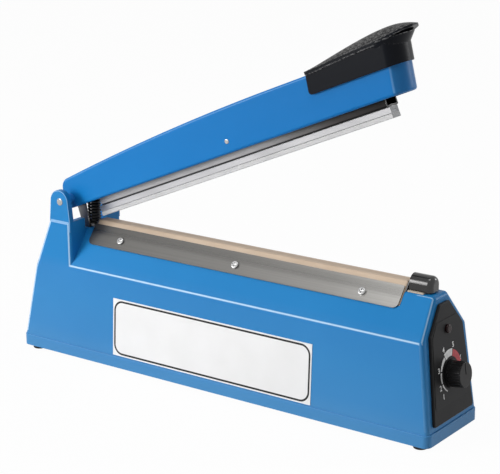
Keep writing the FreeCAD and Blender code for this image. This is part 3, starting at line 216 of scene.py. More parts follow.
def make_painted_edge_highlight():
    """1 for a painted highlight along upper rounded edge lines: beside the long faces, and round the roof past
    End.
    """
    inputs = [("Place", None), ("Facing", None), ("Foot", 0.018), ("End", 0.19)]
    tree, given, result = effect("painted_edge_highlight", inputs, ["Thin"])
    place = add_node(tree, "ShaderNodeSeparateXYZ", {0: given["Place"]}).outputs
    facing = add_node(tree, "ShaderNodeSeparateXYZ", {0: given["Facing"]}).outputs
    sideways = worked_out(tree, "ABSOLUTE", facing["Y"])
    at_end = worked_out(tree, "GREATER_THAN", place["X"], given["End"])
    long_edge = ramp(tree, sideways, [(0.0, 0.0), (0.80, 0.0), (0.88, 1.0), (0.955, 1.0), (0.99, 0.0)])
    roof_edge = ramp(tree, sideways, [(0.0, 0.0), (0.50, 0.0), (0.56, 0.7), (0.64, 0.7), (0.72, 0.0)])
    # painted highlight made weaker on faces turned to +x past End, as that end stands in shade
    end_shaded = worked_out(tree, "MULTIPLY", at_end, ranged(tree, facing["X"], 0.10, 0.25, 0.0, 0.92))
    end_lit = worked_out(tree, "SUBTRACT", 1.0, end_shaded)
    sloping = worked_out(tree, "MULTIPLY", at_end, ranged(tree, facing["Z"], 0.25, 0.35))
    beside = worked_out(tree, "MULTIPLY", long_edge, end_lit)
    round_roof = worked_out(tree, "MULTIPLY", roof_edge, sloping)
    either = worked_out(tree, "ADD", beside, round_roof)
    above = worked_out(tree, "GREATER_THAN", place["Z"], given["Foot"])
    upper = worked_out(tree, "MULTIPLY", above, ranged(tree, facing["Z"], -0.08, -0.02))
    tree.links.new(worked_out(tree, "MULTIPLY", either, upper), result["Thin"])
    return tree


def make_drawn_lines():
    """Lines left by rolling or brushing, stretched along the piece."""
    inputs = [("Place", None), ("Stretch", (6.0, 900.0, 900.0))]
    tree, given, result = effect("drawn_lines", inputs, ["Lines", "Shade"])
    fine = {0: given["Place"], 1: given["Stretch"]}
    fine = add_node(tree, "ShaderNodeVectorMath", fine, operation="MULTIPLY").outputs[0]
    slow = {0: fine, 1: (0.12, 0.12, 0.12)}
    slow = add_node(tree, "ShaderNodeVectorMath", slow, operation="MULTIPLY").outputs[0]
    tree.links.new(noise(tree, fine, 1.0, 3.0), result["Lines"])
    tree.links.new(noise(tree, slow, 1.0, 2.0), result["Shade"])
    return tree


def make_moulded_pebbles():
    """Small raised pebbles of a moulded grip, 1 on their tops."""
    inputs = [("Place", None), ("Count", 700.0)]
    tree, given, result = effect("moulded_pebbles", inputs, ["Height"])
    spread = {"Vector": given["Place"], "Scale": given["Count"], "Randomness": 0.7}
    cells = add_node(tree, "ShaderNodeTexVoronoi", spread)
    tree.links.new(ranged(tree, cells.outputs["Distance"], 0.65, 0.2), result["Height"])
    return tree


surface_grain = make_surface_grain()
edge_rub = make_edge_rub()
painted_edge_highlight = make_painted_edge_highlight()
drawn_lines = make_drawn_lines()
moulded_pebbles = make_moulded_pebbles()


# Finishes
class Finish:
    """A material being made: its tree, its shader and its object coordinates."""

    def __init__(self, name, metal=0.0, **sockets):
        self.material = bpy.data.materials.new(name)
        self.material.use_nodes = True
        self.tree = self.material.node_tree
        self.tree.nodes.clear()
        self.shader = self.add("ShaderNodeBsdfPrincipled", {"Metallic": metal})
        self.add("ShaderNodeOutputMaterial", {"Surface": self.shader.outputs[0]})
        for label, value in sockets.items():
            self.shader.inputs[label.replace("_", " ")].default_value = value
        place = self.add("ShaderNodeTexCoord")
        self.given = {"Place": place.outputs["Object"], "Facing": place.outputs["Normal"]}
        apart = self.add("ShaderNodeSeparateXYZ", {0: self.given["Place"]}).outputs
        self.x, self.y, self.z = apart

    def add(self, kind, inputs=None, **settings):
        return add_node(self.tree, kind, inputs, **settings)

    def use(self, group, **inputs):
        made = self.tree.nodes.new("ShaderNodeGroup")
        made.node_tree = group
        for label, socket in self.given.items():
            if label in made.inputs:
                self.tree.links.new(socket, made.inputs[label])
        for label, value in inputs.items():
            made.inputs[label].default_value = value
        return made.outputs

    def math(self, operation, first, second=0.0):
        return worked_out(self.tree, operation, first, second)

    def ranged(self, value, low, high, new_low=0.0, new_high=1.0):
        return ranged(self.tree, value, low, high, new_low, new_high)

    def towards(self, vector, way):
        """How far a vector goes in a direction."""
        pair = {0: vector, 1: tuple(way)}
        return self.add("ShaderNodeVectorMath", pair, operation="DOT_PRODUCT").outputs["Value"]

    def along(self, value, stops):
        """A colour that follows (place in metres, colour) stops."""
        first = stops[0][0]
        last = stops[-1][0]
        shares = [((place - first) / (last - first), colour) for place, colour in stops]
        return ramp(self.tree, self.ranged(value, first, last), shares)

    def mixed(self, share, first, second):
        mix = self.add("ShaderNodeMix", data_type="RGBA")
        for index, value in {0: share, 6: first, 7: second}.items():
            if isinstance(value, bpy.types.NodeSocket):
                self.tree.links.new(value, mix.inputs[index])
            else:
                mix.inputs[index].default_value = (*value, 1) if index else value
        return mix.outputs[2]

    def join(self, socket, label):
        self.tree.links.new(socket, self.shader.inputs[label])

    def bump(self, height, strength, depth):
        raised = self.add("ShaderNodeBump", {"Height": height, "Strength": strength, "Distance": depth})
        self.join(raised.outputs[0], "Normal")


def blue_paint(name, shades, gloss, edge_highlight, nose_highlight):
    """Stoved paint: shades are stops by height, which hold painted light and shade.

    edge_highlight is how strong the painted highlight along its long rounded edge lines is, and nose_highlight
    how strong the painted highlight on the rounded end of the arm is.
    """
    finish = Finish(name, Specular_IOR_Level=gloss)
    grain = finish.use(surface_grain, Fine=1100.0, Broad=9.0)
    rub = finish.use(edge_rub, Reach=0.0011, Break=70.0)
    edge_highlight_mask = finish.use(painted_edge_highlight)["Thin"]
    # painted light and shade by height: paler towards the foot of the base, darker as the arm rises
    full = finish.along(finish.z, shades)
    deep = finish.mixed(0.10, full, (0.0, 0.10, 0.35))
    body = finish.mixed(finish.ranged(grain["Cloud"], 0.3, 0.7), deep, full)
    rubbed = finish.mixed(finish.math("MULTIPLY", rub["Rub"], 0.25), body, (0.16, 0.40, 0.72))
    # painted highlight on the rounded end of the arm, by how far the surface faces along the arm
    forwards = finish.towards(finish.given["Facing"], arm_along)
    nose_highlight_mask = ramp(finish.tree, forwards, [(0.10, 0.0), (0.30, nose_highlight), (0.60, nose_highlight), (0.90, nose_highlight * 0.6)])
    paled = finish.mixed(nose_highlight_mask, rubbed, (0.19, 0.37, 0.56))
    # painted highlight: upper rounded edge lines turned pale blue
    finish.join(finish.mixed(finish.math("MULTIPLY", edge_highlight_mask, edge_highlight), paled, (0.52, 0.74, 0.92)), "Base Color")
    finish.join(finish.ranged(grain["Cloud"], 0.3, 0.7, 0.30, 0.38), "Roughness")
    finish.bump(grain["Grain"], 0.10, 0.0002)
    return finish.material


def moulded_black(name, shade, rough, pebbles, strength, gloss):
    finish = Finish(name, Specular_IOR_Level=gloss)
    grain = finish.use(surface_grain, Fine=1500.0, Broad=18.0)
    rub = finish.use(edge_rub, Reach=0.0006, Break=160.0)
    pebble = finish.use(moulded_pebbles, Count=pebbles)
    deep = (shade, shade, shade * 1.06)
    pale = tuple(c * 1.5 for c in deep)
    body = finish.mixed(finish.ranged(grain["Cloud"], 0.3, 0.7), deep, pale)
    paled = tuple(c * 6 for c in deep)
    finish.join(finish.mixed(finish.math("MULTIPLY", rub["Rub"], 0.5), body, paled), "Base Color")
    finish.join(finish.ranged(grain["Cloud"], 0.3, 0.7, rough - 0.06, rough + 0.08), "Roughness")
    height = finish.math("ADD", pebble["Height"], finish.math("MULTIPLY", grain["Grain"], 0.5))
    finish.bump(height, strength, 0.00015)
    return finish.material


def grip_black():
    """Pebbled on the crown, smooth on the sides, with a painted highlight in pale dots along the crown's rim."""
    finish = Finish("grip_black", Specular_IOR_Level=0.09)
    grain = finish.use(surface_grain, Fine=1500.0, Broad=16.0)
    pebble = finish.use(moulded_pebbles, Count=430.0)["Height"]
    rub = finish.use(edge_rub, Reach=0.0015, Break=500.0)["Rub"]
    crown = finish.ranged(finish.towards(finish.given["Facing"], arm_up), 0.55, 0.8)
    raised = finish.math("MULTIPLY", pebble, crown)
    dull = finish.mixed(crown, (0.004, 0.005, 0.008), (0.013, 0.013, 0.014))
    # pebble tops paler: partly wear, partly painted highlight
    tipped = finish.mixed(finish.math("MULTIPLY", raised, 0.6), dull, (0.20, 0.20, 0.20))
    # painted highlight: the edge mask kept to the crown's rim turns pale grey
    rim_rise = arm_up.dot(hinge_axis) + 28 * MM
    rim = finish.ranged(finish.towards(finish.given["Place"], arm_up), rim_rise, rim_rise + 3 * MM, 0.0, 0.9)
    finish.join(finish.mixed(finish.math("MULTIPLY", rub, rim), tipped, (0.35, 0.35, 0.35)), "Base Color")
    rough = finish.ranged(crown, 0.0, 1.0, 0.34, 0.55)
    finish.join(finish.math("ADD", rough, finish.ranged(grain["Cloud"], 0.3, 0.7, -0.04, 0.04)), "Roughness")
    finish.bump(finish.math("ADD", raised, finish.math("MULTIPLY", grain["Grain"], 0.15)), 0.55, 0.0004)
    return finish.material


def rolled_metal(name, shades, spread, rough, stretch, strength, painted_shade=None):
    """Metal with lines one way.

    Shades are stops along x, which on some pieces hold painted reflection and shade; spread is how much the lines
    darken it, and painted_shade is a way that faces turn, how far they turn before they take painted shade, and
    how dark they are.
    """
    finish = Finish(name, metal=1.0)
    lines = finish.use(drawn_lines, Stretch=stretch)
    rub = finish.use(edge_rub, Reach=0.0004, Break=200.0)
    full = finish.along(finish.x, shades)
    # painted shade: faces turned the given way are darkened towards near black
    if painted_shade:
        way, start, most = painted_shade
        turned = finish.ranged(finish.towards(finish.given["Facing"], way), start, start + 0.35, 0.0, most)
        full = finish.mixed(turned, full, (0.01, 0.01, 0.01))
    dark = finish.mixed(spread, full, (0, 0, 0))
    body = finish.mixed(finish.ranged(lines["Lines"], 0.3, 0.7), dark, full)
    bright = finish.mixed(0.3, full, (1, 1, 1))
    finish.join(finish.mixed(finish.math("MULTIPLY", rub["Rub"], 0.5), body, bright), "Base Color")
    finish.join(finish.ranged(lines["Shade"], 0.3, 0.7, rough - 0.06, rough + 0.07), "Roughness")
    finish.bump(lines["Lines"], strength, 0.0001)
    return finish.material


def even(shade):
    """The same shade from one end of a piece to the other."""
    return [(-0.2, shade), (0.2, shade)]


def plated_steel(name, shade, rough):
    """Bright plated screws, pins and small fittings with faint mottling."""
    finish = Finish(name, metal=1.0)
    grain = finish.use(surface_grain, Fine=1800.0, Broad=160.0)
    rub = finish.use(edge_rub, Reach=0.0003, Break=500.0)
    dark = tuple(c * 0.86 for c in shade)
    body = finish.mixed(finish.ranged(grain["Cloud"], 0.35, 0.65), dark, shade)
    finish.join(finish.mixed(finish.math("MULTIPLY", rub["Rub"], 0.4), body, (0.9, 0.9, 0.9)), "Base Color")
    finish.join(finish.ranged(grain["Cloud"], 0.3, 0.7, rough - 0.05, rough + 0.08), "Roughness")
    finish.bump(grain["Grain"], 0.06, 0.0001)
    return finish.material


def matt_rubber(name, shade, rough, strength):
    finish = Finish(name, Specular_IOR_Level=0.25)
    grain = finish.use(surface_grain, Fine=1300.0, Broad=60.0)
    dusty = tuple(c * 1.1 + 0.006 for c in shade)
    finish.join(finish.mixed(finish.ranged(grain["Cloud"], 0.35, 0.7), shade, dusty), "Base Color")
    finish.join(finish.ranged(grain["Grain"], 0.3, 0.7, rough - 0.06, rough + 0.06), "Roughness")
    finish.bump(grain["Grain"], strength, 0.0002)
    return finish.material


def pressed_board():
    """Tan fibre board with short fibres."""
    finish = Finish("pressed_board", Specular_IOR_Level=0.2)
    lines = finish.use(drawn_lines, Stretch=(500.0, 90.0, 900.0))
    fibres = finish.ranged(lines["Lines"], 0.35, 0.65)
    finish.join(finish.mixed(fibres, (0.46, 0.39, 0.30), (0.62, 0.54, 0.44)), "Base Color")
    finish.join(finish.ranged(lines["Shade"], 0.3, 0.7, 0.6, 0.75), "Roughness")
    finish.bump(lines["Lines"], 0.3, 0.0001)
    return finish.material


def tan_glass_cloth():
    """Coated cloth with a fine square weave that shows through, browned over the heated line."""
    finish = Finish("tan_glass_cloth", Specular_IOR_Level=0.35)
    grain = finish.use(surface_grain, Fine=700.0, Broad=26.0)
    spread = finish.add("ShaderNodeUVMap", uv_map="weave").outputs[0]
    threads = []
    for way in ("X", "Y"):
        run = finish.add("ShaderNodeTexWave", {"Vector": spread, "Scale": 260.0}, bands_direction=way)
        threads.append(run.outputs["Fac"])
    crossing = finish.math("MULTIPLY", *threads)
    body = finish.mixed(finish.ranged(grain["Cloud"], 0.3, 0.7), (0.53, 0.400, 0.290), (0.63, 0.495, 0.375))
    woven = finish.mixed(finish.math("MULTIPLY", crossing, 0.35), body, (0.74, 0.63, 0.50))
    heated = finish.ranged(finish.math("ABSOLUTE", finish.y), 0.0030, 0.0018, 0.0, 0.30)
    finish.join(finish.mixed(heated, woven, (0.38, 0.25, 0.15)), "Base Color")
    finish.join(finish.ranged(grain["Cloud"], 0.3, 0.7, 0.38, 0.50), "Roughness")
    finish.bump(crossing, 0.25, 0.0001)
    return finish.material


def framed_label(low, high, margin, corner, line):
    """White film with one thin black rounded frame and faint handling marks."""
    finish = Finish("framed_label", Specular_IOR_Level=0.3)
    grain = finish.use(surface_grain, Fine=500.0, Broad=22.0)
    sides = []
    for value, start, end in ((finish.x, low.x, high.x), (finish.z, low.z, high.z)):
        from_middle = finish.math("ABSOLUTE", finish.math("SUBTRACT", value, (start + end) / 2))
        sides.append(finish.math("SUBTRACT", from_middle, (end - start) / 2 - margin - corner))
    outside = [finish.math("MAXIMUM", side, 0.0) for side in sides]
    squares = [finish.math("MULTIPLY", side, side) for side in outside]
    round_part = finish.math("SQRT", finish.math("ADD", *squares))
    straight_part = finish.math("MINIMUM", finish.math("MAXIMUM", *sides), 0.0)
    away = finish.math("SUBTRACT", finish.math("ADD", round_part, straight_part), corner)
    inked = finish.ranged(finish.math("ABSOLUTE", away), line * 0.55, line * 0.45)
    paper = finish.mixed(finish.ranged(grain["Cloud"], 0.35, 0.75), (0.85, 0.85, 0.85), (0.80, 0.80, 0.795))
    finish.join(finish.mixed(inked, paper, (0.008, 0.008, 0.009)), "Base Color")
    finish.join(finish.ranged(grain["Cloud"], 0.3, 0.7, 0.34, 0.46), "Roughness")
    finish.bump(grain["Cloud"], 0.05, 0.0003)
    return finish.material


def printed_ink(name, colour):
    """Screen print: slightly uneven cover and a soft sheen."""
    finish = Finish(name)
    grain = finish.use(surface_grain, Fine=2500.0, Broad=300.0)
    sparse = tuple(c * 0.8 for c in colour)
    finish.join(finish.mixed(finish.ranged(grain["Cloud"], 0.35, 0.6), sparse, colour), "Base Color")
    finish.join(finish.ranged(grain["Grain"], 0.3, 0.7, 0.45, 0.6), "Roughness")
    finish.bump(grain["Grain"], 0.05, 0.00005)
    return finish.material


def dark_red_lens():
    """Moulded lens with a faint faceted pattern, dark while it is unlit."""
    finish = Finish("dark_red_lens", Specular_IOR_Level=0.2)
    pebble = finish.use(moulded_pebbles, Count=900.0)
    finish.join(finish.mixed(pebble["Height"], (0.010, 0.002, 0.003), (0.030, 0.004, 0.005)), "Base Color")
    finish.join(finish.ranged(pebble["Height"], 0.0, 1.0, 0.12, 0.22), "Roughness")
    finish.bump(pebble["Height"], 0.2, 0.0002)
    return finish.material


def wound_copper():
    finish = Finish("wound_copper", metal=1.0, Coat_Weight=0.4, Coat_Roughness=0.15)
    lines = finish.use(drawn_lines, Stretch=(60.0, 60.0, 1400.0))
    finish.join(finish.mixed(lines["Lines"], (0.30, 0.10, 0.04), (0.62, 0.27, 0.13)), "Base Color")
    finish.join(finish.ranged(lines["Shade"], 0.3, 0.7, 0.28, 0.42), "Roughness")
    finish.bump(lines["Lines"], 0.4, 0.0003)
    return finish.material


def green_resist():
    finish = Finish("green_resist", Specular_IOR_Level=0.5)
    lines = finish.use(drawn_lines, Stretch=(300.0, 300.0, 300.0))
    tracks = finish.ranged(lines["Lines"], 0.45, 0.55)
    finish.join(finish.mixed(tracks, (0.012, 0.110, 0.035), (0.022, 0.170, 0.060)), "Base Color")
    finish.join(finish.ranged(lines["Shade"], 0.3, 0.7, 0.28, 0.40), "Roughness")
    finish.bump(lines["Lines"], 0.1, 0.0001)
    return finish.material


# How closely lines lie on x, y and z: few along the way a piece was rolled
along_base = (5.0, 1100.0, 1100.0)
along_arm = (40.0, 1100.0, 420.0)
up_blade = (900.0, 900.0, 20.0)
across_stack = (6.0, 1600.0, 6.0)
# Painted light: shades by height for the paint, and by x for the metal, that stand for light, shade and
# reflections and move with the piece
# painted reflection: darker to the left, brighter to the right
clamp_painted_reflection = [
    (-0.163, (0.105, 0.103, 0.099)),
    (0.000, (0.150, 0.147, 0.141)),
    (0.110, (0.222, 0.218, 0.209)),
    (0.177, (0.335, 0.329, 0.316)),
]
# painted reflection: the base's blue grows paler towards its foot
base_painted_light = [
    (0.010, (0.068, 0.258, 0.523)),
    (0.030, (0.046, 0.240, 0.530)),
    (0.060, (0.037, 0.236, 0.532)),
    (0.088, (0.030, 0.222, 0.528)),
    (0.100, (0.015, 0.216, 0.530)),
    (0.125, (0.015, 0.216, 0.530)),
]
# painted shade: the arm's blue darkens as it rises
arm_painted_light = [
    (0.140, (0.010, 0.212, 0.555)),
    (0.200, (0.006, 0.187, 0.522)),
    (0.290, (0.003, 0.163, 0.470)),
]
# painted reflection: the bar is paler at its left end
bar_painted_reflection = [
    (-0.165, (0.50, 0.50, 0.515)),
    (-0.050, (0.44, 0.44, 0.455)),
    (0.100, (0.37, 0.37, 0.38)),
    (0.180, (0.36, 0.36, 0.37)),
]
# painted reflection and shade: pale at the left end, near black towards the right
carrier_painted_reflection = [
    (-0.165, (0.43, 0.43, 0.44)),
    (0.020, (0.29, 0.29, 0.30)),
    (0.070, (0.12, 0.118, 0.118)),
    (0.105, (0.045, 0.042, 0.042)),
    (0.150, (0.018, 0.017, 0.017)),
]
arm_blue = blue_paint("arm_blue", arm_painted_light, gloss=0.13, edge_highlight=0.12, nose_highlight=0.15)
fitting_black = moulded_black("fitting_black", 0.010, rough=0.40, pebbles=900.0, strength=0.08, gloss=0.3)
zinc = plated_steel("zinc_plate", (0.50, 0.50, 0.48), rough=0.36)
bright_steel = plated_steel("bright_steel", (0.46, 0.46, 0.46), rough=0.22)
rubber = matt_rubber("black_rubber", (0.010, 0.010, 0.011), rough=0.62, strength=0.2)
finishes = {
    "base_housing": blue_paint("base_blue", base_painted_light, gloss=0.16, edge_highlight=0.78, nose_highlight=0.0),
    "arm_housing": arm_blue,
    "pin_spacers": arm_blue,
    "handle_grip": grip_black(),
    "right_end_cap": moulded_black("cap_black", 0.003, rough=0.12, pebbles=1400.0, strength=0.005, gloss=0.6),
    "cap_pad": pressed_board(),
    "control_panel": moulded_black("panel_black", 0.012, rough=0.48, pebbles=900.0, strength=0.12, gloss=0.11),
    "dial_plate": moulded_black("dial_black", 0.013, rough=0.46, pebbles=1500.0, strength=0.04, gloss=0.11),
    "control_knob": moulded_black("knob_black", 0.007, rough=0.30, pebbles=1200.0, strength=0.06, gloss=0.16),
    "lamp_lens": dark_red_lens(),
    "label_plate": framed_label(*corners_of("label_plate"), margin=2.2 * MM, corner=9 * MM, line=1.8 * MM),
    "front_clamp_plate": rolled_metal(
        "clamp_steel", clamp_painted_reflection, spread=0.14, rough=0.32, stretch=along_base, strength=0.06),
    "sealing_bed": rolled_metal(
        "bed_alloy", even((0.14, 0.14, 0.145)), spread=0.14, rough=0.40, stretch=along_base, strength=0.06),
    # the bar's end, facing along the arm, takes painted shade
    "press_bar": rolled_metal(
        "bar_alloy", bar_painted_reflection, spread=0.04, rough=0.34, stretch=along_arm, strength=0.02,
        painted_shade=(arm_along, 0.55, 0.88)),
    # the carrier's lower bend, facing down, takes a painted shade line above the bar
    "bar_carrier": rolled_metal(
        "carrier_steel", carrier_painted_reflection, spread=0.14, rough=0.34, stretch=along_arm, strength=0.05,
        painted_shade=(-arm_up, 0.25, 0.9)),
    "heating_element": rolled_metal(
        "ribbon_alloy", even((0.22, 0.205, 0.19)), spread=0.2, rough=0.36, stretch=along_base, strength=0.05),
    "bed_tape": matt_rubber("white_tape", (0.62, 0.61, 0.57), rough=0.7, strength=0.3),
    "silicone_strip": matt_rubber("pale_silicone", (0.59, 0.59, 0.59), rough=0.55, strength=0.12),
    "terminal_screws": plated_steel("turned_brass", (0.70, 0.50, 0.20), rough=0.26),
    "hinge_pin": bright_steel,
    "spring_cup": plated_steel("cup_steel", (0.16, 0.16, 0.165), rough=0.38),
    "switch_blade": rolled_metal(
        "blade_steel", even((0.19, 0.19, 0.195)), spread=0.14, rough=0.34, stretch=up_blade, strength=0.05),
    "base_plate": zinc,
    "rubber_feet": rubber,
    "cable_grommet": rubber,
    "transformer_core": rolled_metal(
        "core_sheets", even((0.24, 0.235, 0.23)), spread=0.3, rough=0.45, stretch=across_stack, strength=0.4),
    "transformer_coil": wound_copper(),
    "timer_board": green_resist(),
}
twins = {
    "front_clamp_plate": ["back_clamp_plate"],
    "hinge_pin": ["rocker_pin", "clamp_plate_screws", "base_plate_screws", "transformer_screws", "grip_screws",
                  "bar_screws", "switch_screws", "potentiometer_nut", "knob_shaft"],
    "base_plate": ["transformer_frame", "potentiometer", "switch_bracket"],
}
for node, others in twins.items():
    for other in others:
        finishes[other] = finishes[node]
for node, piece in cad.items():
    finish = finishes.get(node, fitting_black)
    if piece.material_slots:
        for place in piece.material_slots:
            place.material = finish
    else:
        piece.data.materials.append(finish)


# Pieces made here
def new_piece(name, mesh, finish, body):
    """A finished mesh at the origin that rides on a body."""
    mesh.materials.clear()
    mesh.materials.append(finish)
    piece = bpy.data.objects.new(name, mesh)
    bpy.context.scene.collection.objects.link(piece)
    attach(piece, body)
    return piece


def plain_mesh(source):
    """What an object looks like with its modifiers, as a mesh of its own; the object goes."""
    bpy.context.view_layer.update()
    evaluated = source.evaluated_get(bpy.context.evaluated_depsgraph_get())
    mesh = bpy.data.meshes.new_from_object(evaluated)
    bpy.data.objects.remove(source)
    return mesh


def merged(name, meshes):
    work = bmesh.new()
    for mesh in meshes:
        work.from_mesh(mesh)
    whole = bpy.data.meshes.new(name)
    work.to_mesh(whole)
    work.free()
    return whole


def spring_tree():
    """Round wire wound up the z axis; sizes are in metres."""
    tree = bpy.data.node_groups.new("wound_spring", "GeometryNodeTree")
    sizes = [("Radius", 0.005), ("Wire", 0.001), ("Height", 0.04), ("Turns", 9.0)]
    for label, default in sizes:
        socket = tree.interface.new_socket(label, in_out="INPUT", socket_type="NodeSocketFloat")
        socket.default_value = default
    tree.interface.new_socket("Steel", in_out="INPUT", socket_type="NodeSocketMaterial")
    tree.interface.new_socket("Spring", in_out="OUTPUT", socket_type="NodeSocketGeometry")
    given = tree.nodes.new("NodeGroupInput").outputs
    half_wire = worked_out(tree, "MULTIPLY", given["Wire"], 0.5)
    radius = worked_out(tree, "SUBTRACT", given["Radius"], half_wire)
    rise = worked_out(tree, "SUBTRACT", given["Height"], given["Wire"])
    winding = {"Resolution": 32, "Rotations": given["Turns"], "Height": rise}
    line = add_node(tree, "GeometryNodeCurveSpiral", {**winding, "Start Radius": radius, "End Radius": radius})
    section = add_node(tree, "GeometryNodeCurvePrimitiveCircle", {"Resolution": 12, "Radius": half_wire})
    sweep = {"Curve": line.outputs[0], "Profile Curve": section.outputs[0], "Fill Caps": True}
    wire = add_node(tree, "GeometryNodeCurveToMesh", sweep)
    lift = add_node(tree, "ShaderNodeCombineXYZ", {"Z": half_wire})
    seat = {"Geometry": wire.outputs[0], "Translation": lift.outputs[0]}
    seated = add_node(tree, "GeometryNodeTransform", seat)
    smooth = add_node(tree, "GeometryNodeSetShadeSmooth", {"Geometry": seated.outputs[0]})
    real = add_node(tree, "GeometryNodeRealizeInstances", {"Geometry": smooth.outputs[0]})
    dress = {"Geometry": real.outputs[0], "Material": given["Steel"]}
    dressed = add_node(tree, "GeometryNodeSetMaterial", dress)
    tree.links.new(dressed.outputs[0], tree.nodes.new("NodeGroupOutput").inputs[0])
    return tree


def by_tree(name, tree, values):
    """The mesh that a geometry tree makes with these named inputs."""
    source = bpy.data.objects.new(name, bpy.data.meshes.new(name))
    bpy.context.scene.collection.objects.link(source)
    modifier = source.modifiers.new(name, "NODES")
    modifier.node_group = tree
    for item in tree.interface.items_tree:
        if item.in_out == "INPUT" and item.name in values:
            modifier[item.identifier] = values[item.name]
    return plain_mesh(source)


def outward(mesh):
    """Turns every face of a closed mesh outwards."""
    work = bmesh.new()
    work.from_mesh(mesh)
    bmesh.ops.remove_doubles(work, verts=work.verts, dist=1e-7)
    bmesh.ops.recalc_face_normals(work, faces=work.faces)
    work.to_mesh(mesh)
    work.free()
    return mesh


wound_spring = spring_tree()
return_wire = 2.4 * MM
return_turns = 14.0
carrier_wire = 1.2 * MM
carrier_turns = 8.5


def add_return_spring():
    black = matt_rubber("blackened_wire", (0.008, 0.008, 0.009), rough=0.40, strength=0.1)
    low, high = corners_of("return_spring")
    sizes = {"Radius": (high.y - low.y) / 2, "Wire": return_wire, "Height": high.z - low.z, "Turns": return_turns}
    mesh = outward(by_tree("return_spring_wire", wound_spring, {**sizes, "Steel": black}))
    foot = Vector(((low.x + high.x) / 2, 0, low.z))
    mesh.transform(Matrix.Translation(foot))
    spring = new_piece("return_spring_wire", mesh, black, "base")
    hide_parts("return_spring")
    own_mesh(spring)


def add_carrier_springs():
    """Two springs between the bar's carrier and the arm's roof, tilted with the open arm."""
    bright = plated_steel("bright_wire", (0.52, 0.52, 0.54), rough=0.28)
    from_hinge = [vertex.co - hinge_axis for vertex in cad["carrier_springs"].data.vertices]
    places = [(off.dot(arm_along), off.dot(arm_up)) for off in from_hinge]
    middle = sum(along for along, up in places) / len(places)
    tilt = Matrix.Translation(hinge_axis) @ Matrix.Rotation(-arm_open, 4, "Y")
    meshes = []
    for way in (-1, 1):
        here = [(along, up) for along, up in places if (along - middle) * way > 0]
        left, right = min(along for along, up in here), max(along for along, up in here)
        web, top = min(up for along, up in here), max(up for along, up in here)
        sizes = {"Radius": (right - left) / 2, "Wire": carrier_wire, "Height": top - web, "Turns": carrier_turns}
        mesh = outward(by_tree("carrier_spring_wire", wound_spring, {**sizes, "Steel": bright}))
        mesh.transform(tilt @ Matrix.Translation(((left + right) / 2, 0, web)))
        meshes.append(mesh)
    both = merged("carrier_spring_wires", meshes)
    both.shade_smooth()
    springs = new_piece("carrier_spring_wires", both, bright, "bar")
    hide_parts("carrier_springs")
    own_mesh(springs)


def cloth_profile(edge_y, top, fall, tuck_depth):
    """Half section of the cloth from its tuck up the slope, round the bend and to the middle."""
    bend = 0.7 * MM
    shoulder = Vector((edge_y, top))
    tuck = shoulder + fall * tuck_depth
    half = [tuck + (shoulder - tuck) * (i / 8) for i in range(8)]
    start = shoulder + fall * bend
    end = shoulder - Vector((bend, 0))
    for t in (0.0, 0.25, 0.5, 0.75, 1.0):
        half.append((1 - t) ** 2 * start + 2 * t * (1 - t) * shoulder + t * t * end)
    half += [Vector((end.x * (1 - i / 4), top)) for i in range(1, 4)]
    return half


def add_cloth():
    """Coated cloth stretched over the bed and tucked under both clamp plates, faintly rippled."""
    bed_low, bed_high = corners_of("sealing_bed")
    low, high = corners_of("ptfe_cloth")
    fall = Vector((26.0, -33.0)).normalized()
    outer = 0.27 * MM
    top = high.z - 0.03 * MM
    edge_y = bed_high.y + outer / -fall.y - (top - bed_low.z) * fall.x / -fall.y
    half = cloth_profile(edge_y, top, fall, (top - low.z) / -fall.y)
    profile = [Vector((-p.x, p.y)) for p in half] + [Vector((0, top))] + list(reversed(half))
    run = [0.0]
    for before, after in zip(profile, profile[1:]):
        run.append(run[-1] + (after - before).length)
    columns = 170
    length = high.x - low.x
    work = bmesh.new()
    weave = work.loops.layers.uv.new("weave")
    rows = []
    for i in range(columns + 1):
        along = i / columns
        row = []
        for p in profile:
            ripple = math.sin(along * 71 + p.x * 310) * math.sin(along * 23 + 1.3) * 0.035 * MM
            free = max(0.0, 1 - abs(abs(p.x) - edge_y * 0.9) / (edge_y * 0.6))
            row.append(work.verts.new((low.x + length * along, p.x, p.y - abs(ripple) * free)))
        rows.append(row)
    for i in range(columns):
        for j in range(len(profile) - 1):
            marks = ((i, j), (i + 1, j), (i + 1, j + 1), (i, j + 1))
            face = work.faces.new([rows[a][b] for a, b in marks])
            face.smooth = True
            for loop, (a, b) in zip(face.loops, marks):
                loop[weave].uv = (length * a / columns, run[b])
    mesh = bpy.data.meshes.new("glass_cloth")
    work.to_mesh(mesh)
    work.free()
    cloth = new_piece("glass_cloth", mesh, tan_glass_cloth(), "base")
    thick = cloth.modifiers.new("thickness", "SOLIDIFY")
    thick.thickness = 0.24 * MM
    thick.offset = -1
    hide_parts("ptfe_cloth")


# Scale printed round the knob: x across the panel, y up it, on the face of the dial plate
print_height = 0.06 * MM
numeral_height = 6.4 * MM
ring_centre = Vector((0, 1.5 * MM, 0))
dial_rise = 2.9 * MM
dial_face = dial_centre + dial_out * dial_rise
to_dial = Matrix.Translation(dial_face) @ Matrix((dial_across, dial_up, dial_out)).transposed().to_4x4()


def spoke(angle, radius, height=0.0):
    turn = math.radians(angle)
    return Vector((math.cos(turn) * radius, math.sin(turn) * radius, height))


